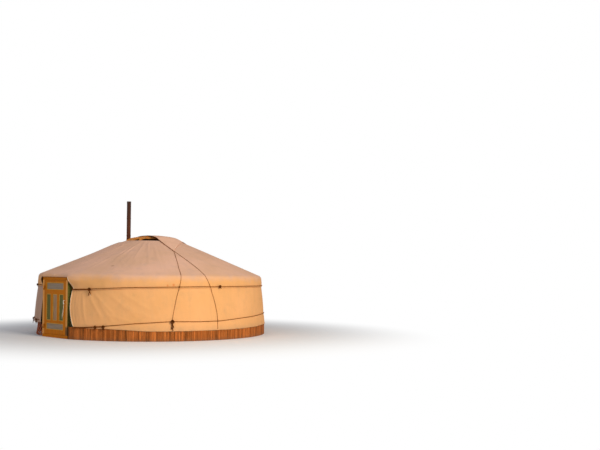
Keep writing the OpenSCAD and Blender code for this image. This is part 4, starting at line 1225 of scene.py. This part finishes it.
class YURT_OT_ropes(bpy.types.Operator):
    """Make the girth ropes, the flap's ropes, knots and loose ends"""
    bl_idname = "yurt.ropes"
    bl_label = "Ropes"

    def execute(self, context):
        cloth = context.scene.yurt_cloth
        rope = context.scene.yurt_rope
        dark = rope_finish("hair_rope", rope.dark)
        darker = rope_finish("hair_knots", shade(rope.dark, 0.45))
        light = rope_finish("cotton_cord", rope.light)

        def girth(lying, first, last, steps):
            line = LINES[lying]
            return [cover_point(lying, a, along(line, a), cloth, rope.girth / 2 + 0.0005)
                    for a in (lerp(first, last, i / steps) for i in range(steps + 1))]

        # each girth rope goes round the house, and near the door a second run lies below it
        upper_start = half_angle(VALANCE_HALF - 0.020, HEM_R)
        for name, lying, lead, double_end in (("upper", "valance", upper_start, -67.6),
                                              ("lower", "wall", LOWER_ROPE_START, -60)):
            first, last = ROUND_START + lead, ROUND_END - lead
            whole = relaxed(girth(lying, first, last, 2000), 6)
            second = [p - Vector((0, 0, rope.girth * 0.93)) for p in girth(lying, first, double_end, 90)]
            bm = joined([strands(path, rope.girth, 95) for path in (whole, relaxed(second, 3))])
            obj = finished(f"{name}_girth_rope", bm, dark)
            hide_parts(f"{name}_rope")

        def down(line):
            """A flap rope: along the covers and over the girth ropes."""
            points = []
            for a, run in spline(line, 12):
                z = VALANCE_LOW - (run - COVER_RUN)
                hump = sum(rope.girth * math.exp(-((z - along(table, a)) / 0.03) ** 2)
                           for table in (UPPER_LINE, LOWER_LINE))
                if run < COVER_RUN:
                    points.append(roof_point(a, run, cloth, rope.flap / 2 + 0.001 + hump))
                else:
                    points.append(wall_point(a, z, cloth, rope.flap / 2 + 0.002 + hump))
            return relaxed(spread(points, 0.008), 22)

        bm = joined([strands(down(line), rope.flap, 120) for line in (ROPE_A, ROPE_B)])
        obj = finished("flap_guy_ropes", bm, dark)
        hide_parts("flap_ropes")

        def valance_edge(side, inset, out):
            points = []
            for i in range(40):
                z = lerp(FRAME_TOP + 0.010, along(UPPER_LINE, -78) + 0.004, i / 39)
                half = lerp(VALANCE_HALF, FELT_HALF, (z - VALANCE_LOW) / (FRAME_TOP - VALANCE_LOW)) + inset
                s = COVER_RUN - (z - VALANCE_LOW)
                a = ROUND_START + side * half_angle(half, FLAT_R)
                for _ in range(3):
                    p = roof_point(a, s, cloth, out)
                    a += side * math.degrees((half - abs(p.x)) / FLAT_R)
                points.append(roof_point(a, s, cloth, out))
            return relaxed(spread(points, 0.008), 9)

        bm = joined([strands(valance_edge(side, 0.002, 0.006), EDGE_ROPE, 120) for side in (1, -1)])
        finished("valance_edge_rope", bm, dark)
        bm = joined([tube(valance_edge(side, 0.026, 0.003), PIPING) for side in (1, -1)])
        edge = []
        for i in range(70):
            z = lerp(hem_height(-76) + 0.03, VALANCE_LOW - 0.02, i / 69)
            edge.append(wall_point(ROUND_START + half_angle(canvas_edge(z), wall_radius(z)), z, cloth, 0.003))
        join(bm, tube(relaxed(edge, 3), PIPING))
        finished("canvas_piping", bm, light)

        for i, (a, low, lying, size, ends) in enumerate(KNOTS, 1):
            self.knot(cloth, f"knot_{i}", darker, a, along(LINES[lying], a) - low, lying, size, ends)
        self.knot(cloth, "cord_end", light, -67.2, along(UPPER_LINE, -67.2) - 0.135, "wall", 0.018,
                  [(0.3, 0.045), (-0.5, 0.035)])
        return {"FINISHED"}

    def knot(self, cloth, name, mat, a, z, lying, size, ends):
        """A knot that sits on a rope, with loose ends."""
        at = cover_point(lying, a, z, cloth, size * 0.55)
        out = polar(1, a, 0)
        side = Vector((-out.y, out.x, 0))
        bm = bmesh.new()
        for turn in (0.0, 1.05, 2.1):
            loop = []
            for i in range(25):
                t = 2 * math.pi * i / 24
                p = Vector((math.cos(2 * t) * 0.12, math.cos(t) * 0.42, math.sin(t) * 0.30)) * size
                p = Matrix.Rotation(turn, 3, "X") @ p
                loop.append(at + out * p.x + side * p.y + Vector((0, 0, p.z)))
            join(bm, tube(loop, size * 0.36, sides=7, ends=False))
        clear = 0.012 if lying == "valance" else 0.004
        for lean, long in ends:
            points = []
            for i in range(14):
                t = i / 13
                sway = lean * t * long + 0.006 * math.sin(t * 7 + lean * 9)
                p = at + side * sway + Vector((0, 0, -t * long))
                keep = wall_radius(p.z) + size * 0.35 + clear
                flat = Vector((p.x, p.y, 0)).normalized() * keep
                points.append(Vector((flat.x, flat.y, p.z)))
            join(bm, tube(points, size * 0.34, sides=7, radius=lambda t: 1 - 0.35 * t))
        finished(name, bm, mat)


class YURT_OT_woodwork(bpy.types.Operator):
    """Paint the door, crown, poles, lattice and columns"""
    bl_idname = "yurt.woodwork"
    bl_label = "Woodwork"

    def execute(self, context):
        wood = context.scene.yurt_wood
        upright = (1, 1, 0.06)
        level = (0.06, 1, 1)

        def paint(name, base, *look):
            return paint_finish(name, base, wood.bare, *look)

        dress(paint("ochre_paint", wood.ochre, upright, 0.63), "leaf_frame")
        dress(paint("ochre_paint_level", wood.ochre, level, 0.60), "door_threshold", "door_lintel")
        dress(jamb_finish(wood.green, "pale_paint", wood.pale, wood.bare, upright, 0.66),
              "door_jamb_left", "door_jamb_right")
        dress(paint("grey_paint", wood.grey, level, 0.70, 0.4), "top_panel", "bottom_panel")
        dress(paint("lilac_paint", wood.lilac, upright, 0.70, 0.4), "centre_panel")
        dress(paint("green_paint", wood.green, upright, 0.70, 0.4), "side_panels")
        dress(paint("orange_paint", wood.orange, (0.3, 0.3, 0.3), 0.60), "crown_rim", "crown_spokes",
              *[f"roof_poles_{i}" for i in range(1, 6)])
        dress(paint("red_paint", wood.red, (0.4, 0.4, 0.2), 0.60), "column_left", "column_right",
              *[f"lattice_wall_{i}" for i in range(1, 6)])
        return {"FINISHED"}


class YURT_OT_door_fittings(bpy.types.Operator):
    """Make the beads round the panels and the handle's cords, and finish the hinges and the handle"""
    bl_idname = "yurt.door_fittings"
    bl_label = "Door fittings"

    def execute(self, context):
        wood = context.scene.yurt_wood
        metal = context.scene.yurt_metal
        iron = paint_finish("painted_iron", shade(wood.ochre, 0.75), metal.iron, (0.5, 0.5, 0.5), 0.60)
        dress(iron, "hinge_pins", "leaf_hinges")
        dress(metal_finish("bright_handle", metal.bright, 0.35, 0.3), "door_handle")

        bm = bmesh.new()
        for node in ("top_panel", "bottom_panel", "centre_panel"):
            lo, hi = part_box(node)
            self.bead(bm, lo.x, hi.x, lo.z, hi.z)
        lo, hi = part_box("side_panels")
        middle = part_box("centre_panel")
        wide = middle[1].x - middle[0].x
        self.bead(bm, lo.x, lo.x + wide, lo.z, hi.z)
        self.bead(bm, hi.x - wide, hi.x, lo.z, hi.z)
        paint = paint_finish("bead_paint", (0.70, 0.42, 0.08), wood.bare, (0.5, 1, 0.2), 0.68)
        finished("panel_beads", bm, paint, body=LEAF, rounded=False)

        lo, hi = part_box("door_handle")
        top = lo + Vector((0.012, 0.012, 0.012))
        foot = Vector((top.x - 0.085, -FRAME_FRONT - 0.012, top.z - 0.36))
        white = rope_finish("handle_cord", context.scene.yurt_rope.light)
        for i, (sway, short) in enumerate(((0.012, 0.0), (-0.010, 0.10)), 1):
            line = [(0.0, 0.0), (0.25, 0.4), (0.6, 1.1), (0.85, 0.6), (1.0 - short, 0.0)]
            path = []
            for t, bow in spline(line, 10):
                p = top.lerp(foot, t)
                path.append(Vector((p.x + sway * bow, lerp(top.y, foot.y, min(1.0, t * 4)), p.z)))
            path = relaxed(path, 2)
            obj = finished(f"handle_cord_{i}", tube(path, HANDLE_CORD), white, body=LEAF)
            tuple(path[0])
            sum((q - p).length for p, q in zip(path, path[1:]))
        return {"FINISHED"}

    def bead(self, bm, x0, x1, z0, z1):
        """Four strips round a panel, in the rebate of the rails."""
        t, deep = BEAD_WIDE, BEAD_DEEP
        y = -FRAME_FRONT + 0.0005 + deep / 2
        for x in (x0 + t / 2, x1 - t / 2):
            block(bm, (x, y, (z0 + z1) / 2), (t, deep, z1 - z0), BEAD_ROUND)
        for z in (z0 + t / 2, z1 - t / 2):
            block(bm, ((x0 + x1) / 2, y, z), (x1 - x0 - 2 * t, deep, t), BEAD_ROUND)


class YURT_OT_pipe(bpy.types.Operator):
    """Rust the stove pipe and add its lap joints"""
    bl_idname = "yurt.pipe"
    bl_label = "Stove pipe"

    def execute(self, context):
        metal = context.scene.yurt_metal
        rust = rust_finish("rusty_pipe", metal.rust, metal.soot, 2.5, PIPE_TOP)
        dress(rust, "stove_pipe")
        plate_rust = shade(metal.rust, 1.4, 0.9, 1.4)
        dress(rust_finish("rusty_plate", plate_rust, metal.soot, 1.0, 4.2), "pipe_plate")

        # each ring's outline: how far it stands off the pipe, and its height from the ring's own
        lap = [(0.0004, -0.022), (0.003, -0.018), (0.003, 0.002), (0.0004, 0.006)]
        lip = [(0.0004, -0.012), (0.004, -0.006), (0.004, 0.003), (0.0004, 0.006)]
        bm = bmesh.new()
        for z, outline in [(z, lap) for z in PIPE_LAPS] + [(PIPE_TOP - 0.006, lip)]:
            verts = [bm.verts.new((PIPE_R + off, 0, z + rise)) for off, rise in outline]
            edges = [bm.edges.new(p) for p in zip(verts, verts[1:] + verts[:1])]
            bmesh.ops.spin(bm, geom=verts + edges, axis=(0, 0, 1), cent=(0, 0, 0), steps=48,
                           angle=2 * math.pi, use_merge=True)
        bmesh.ops.remove_doubles(bm, verts=bm.verts, dist=1e-5)
        bmesh.ops.recalc_face_normals(bm, faces=bm.faces)
        bmesh.ops.translate(bm, verts=bm.verts, vec=(PIPE_AT.x, PIPE_AT.y, 0))
        finished("pipe_laps", bm, rust)
        return {"FINISHED"}


class YURT_PT_panel(bpy.types.Panel):
    """The pieces and their settings, in the sidebar"""
    bl_label = "Yurt"
    bl_idname = "YURT_PT_panel"
    bl_space_type = "VIEW_3D"
    bl_region_type = "UI"
    bl_category = "Yurt"

    def draw(self, context):
        for op in OPERATORS:
            self.layout.operator(op.bl_idname)
        for name in GROUPS:
            group = getattr(context.scene, name)
            for prop in group.bl_rna.properties:
                if prop.identifier not in ("rna_type", "name"):
                    self.layout.prop(group, prop.identifier)


GROUPS = {
    "yurt_cloth": YurtCloth, "yurt_wood": YurtWood, "yurt_skirt": YurtSkirt, "yurt_rope": YurtRope,
    "yurt_metal": YurtMetal, "yurt_stage": YurtStage,
}
OPERATORS = (
    YURT_OT_stage, YURT_OT_wall_cover, YURT_OT_roof_cover, YURT_OT_crown_flap, YURT_OT_felts, YURT_OT_skirt,
    YURT_OT_ropes, YURT_OT_woodwork, YURT_OT_door_fittings, YURT_OT_pipe,
)


def register():
    for cls in (*GROUPS.values(), *OPERATORS, YURT_PT_panel):
        bpy.utils.register_class(cls)
    for name, cls in GROUPS.items():
        setattr(bpy.types.Scene, name, PointerProperty(type=cls))


def unregister():
    for name in GROUPS:
        delattr(bpy.types.Scene, name)
    for cls in (YURT_PT_panel, *OPERATORS, *GROUPS.values()):
        bpy.utils.unregister_class(cls)


def main():
    register()
    for op in OPERATORS:
        group, name = op.bl_idname.split(".")
        getattr(getattr(bpy.ops, group), name)()


if __name__ == "__main__":
    main()
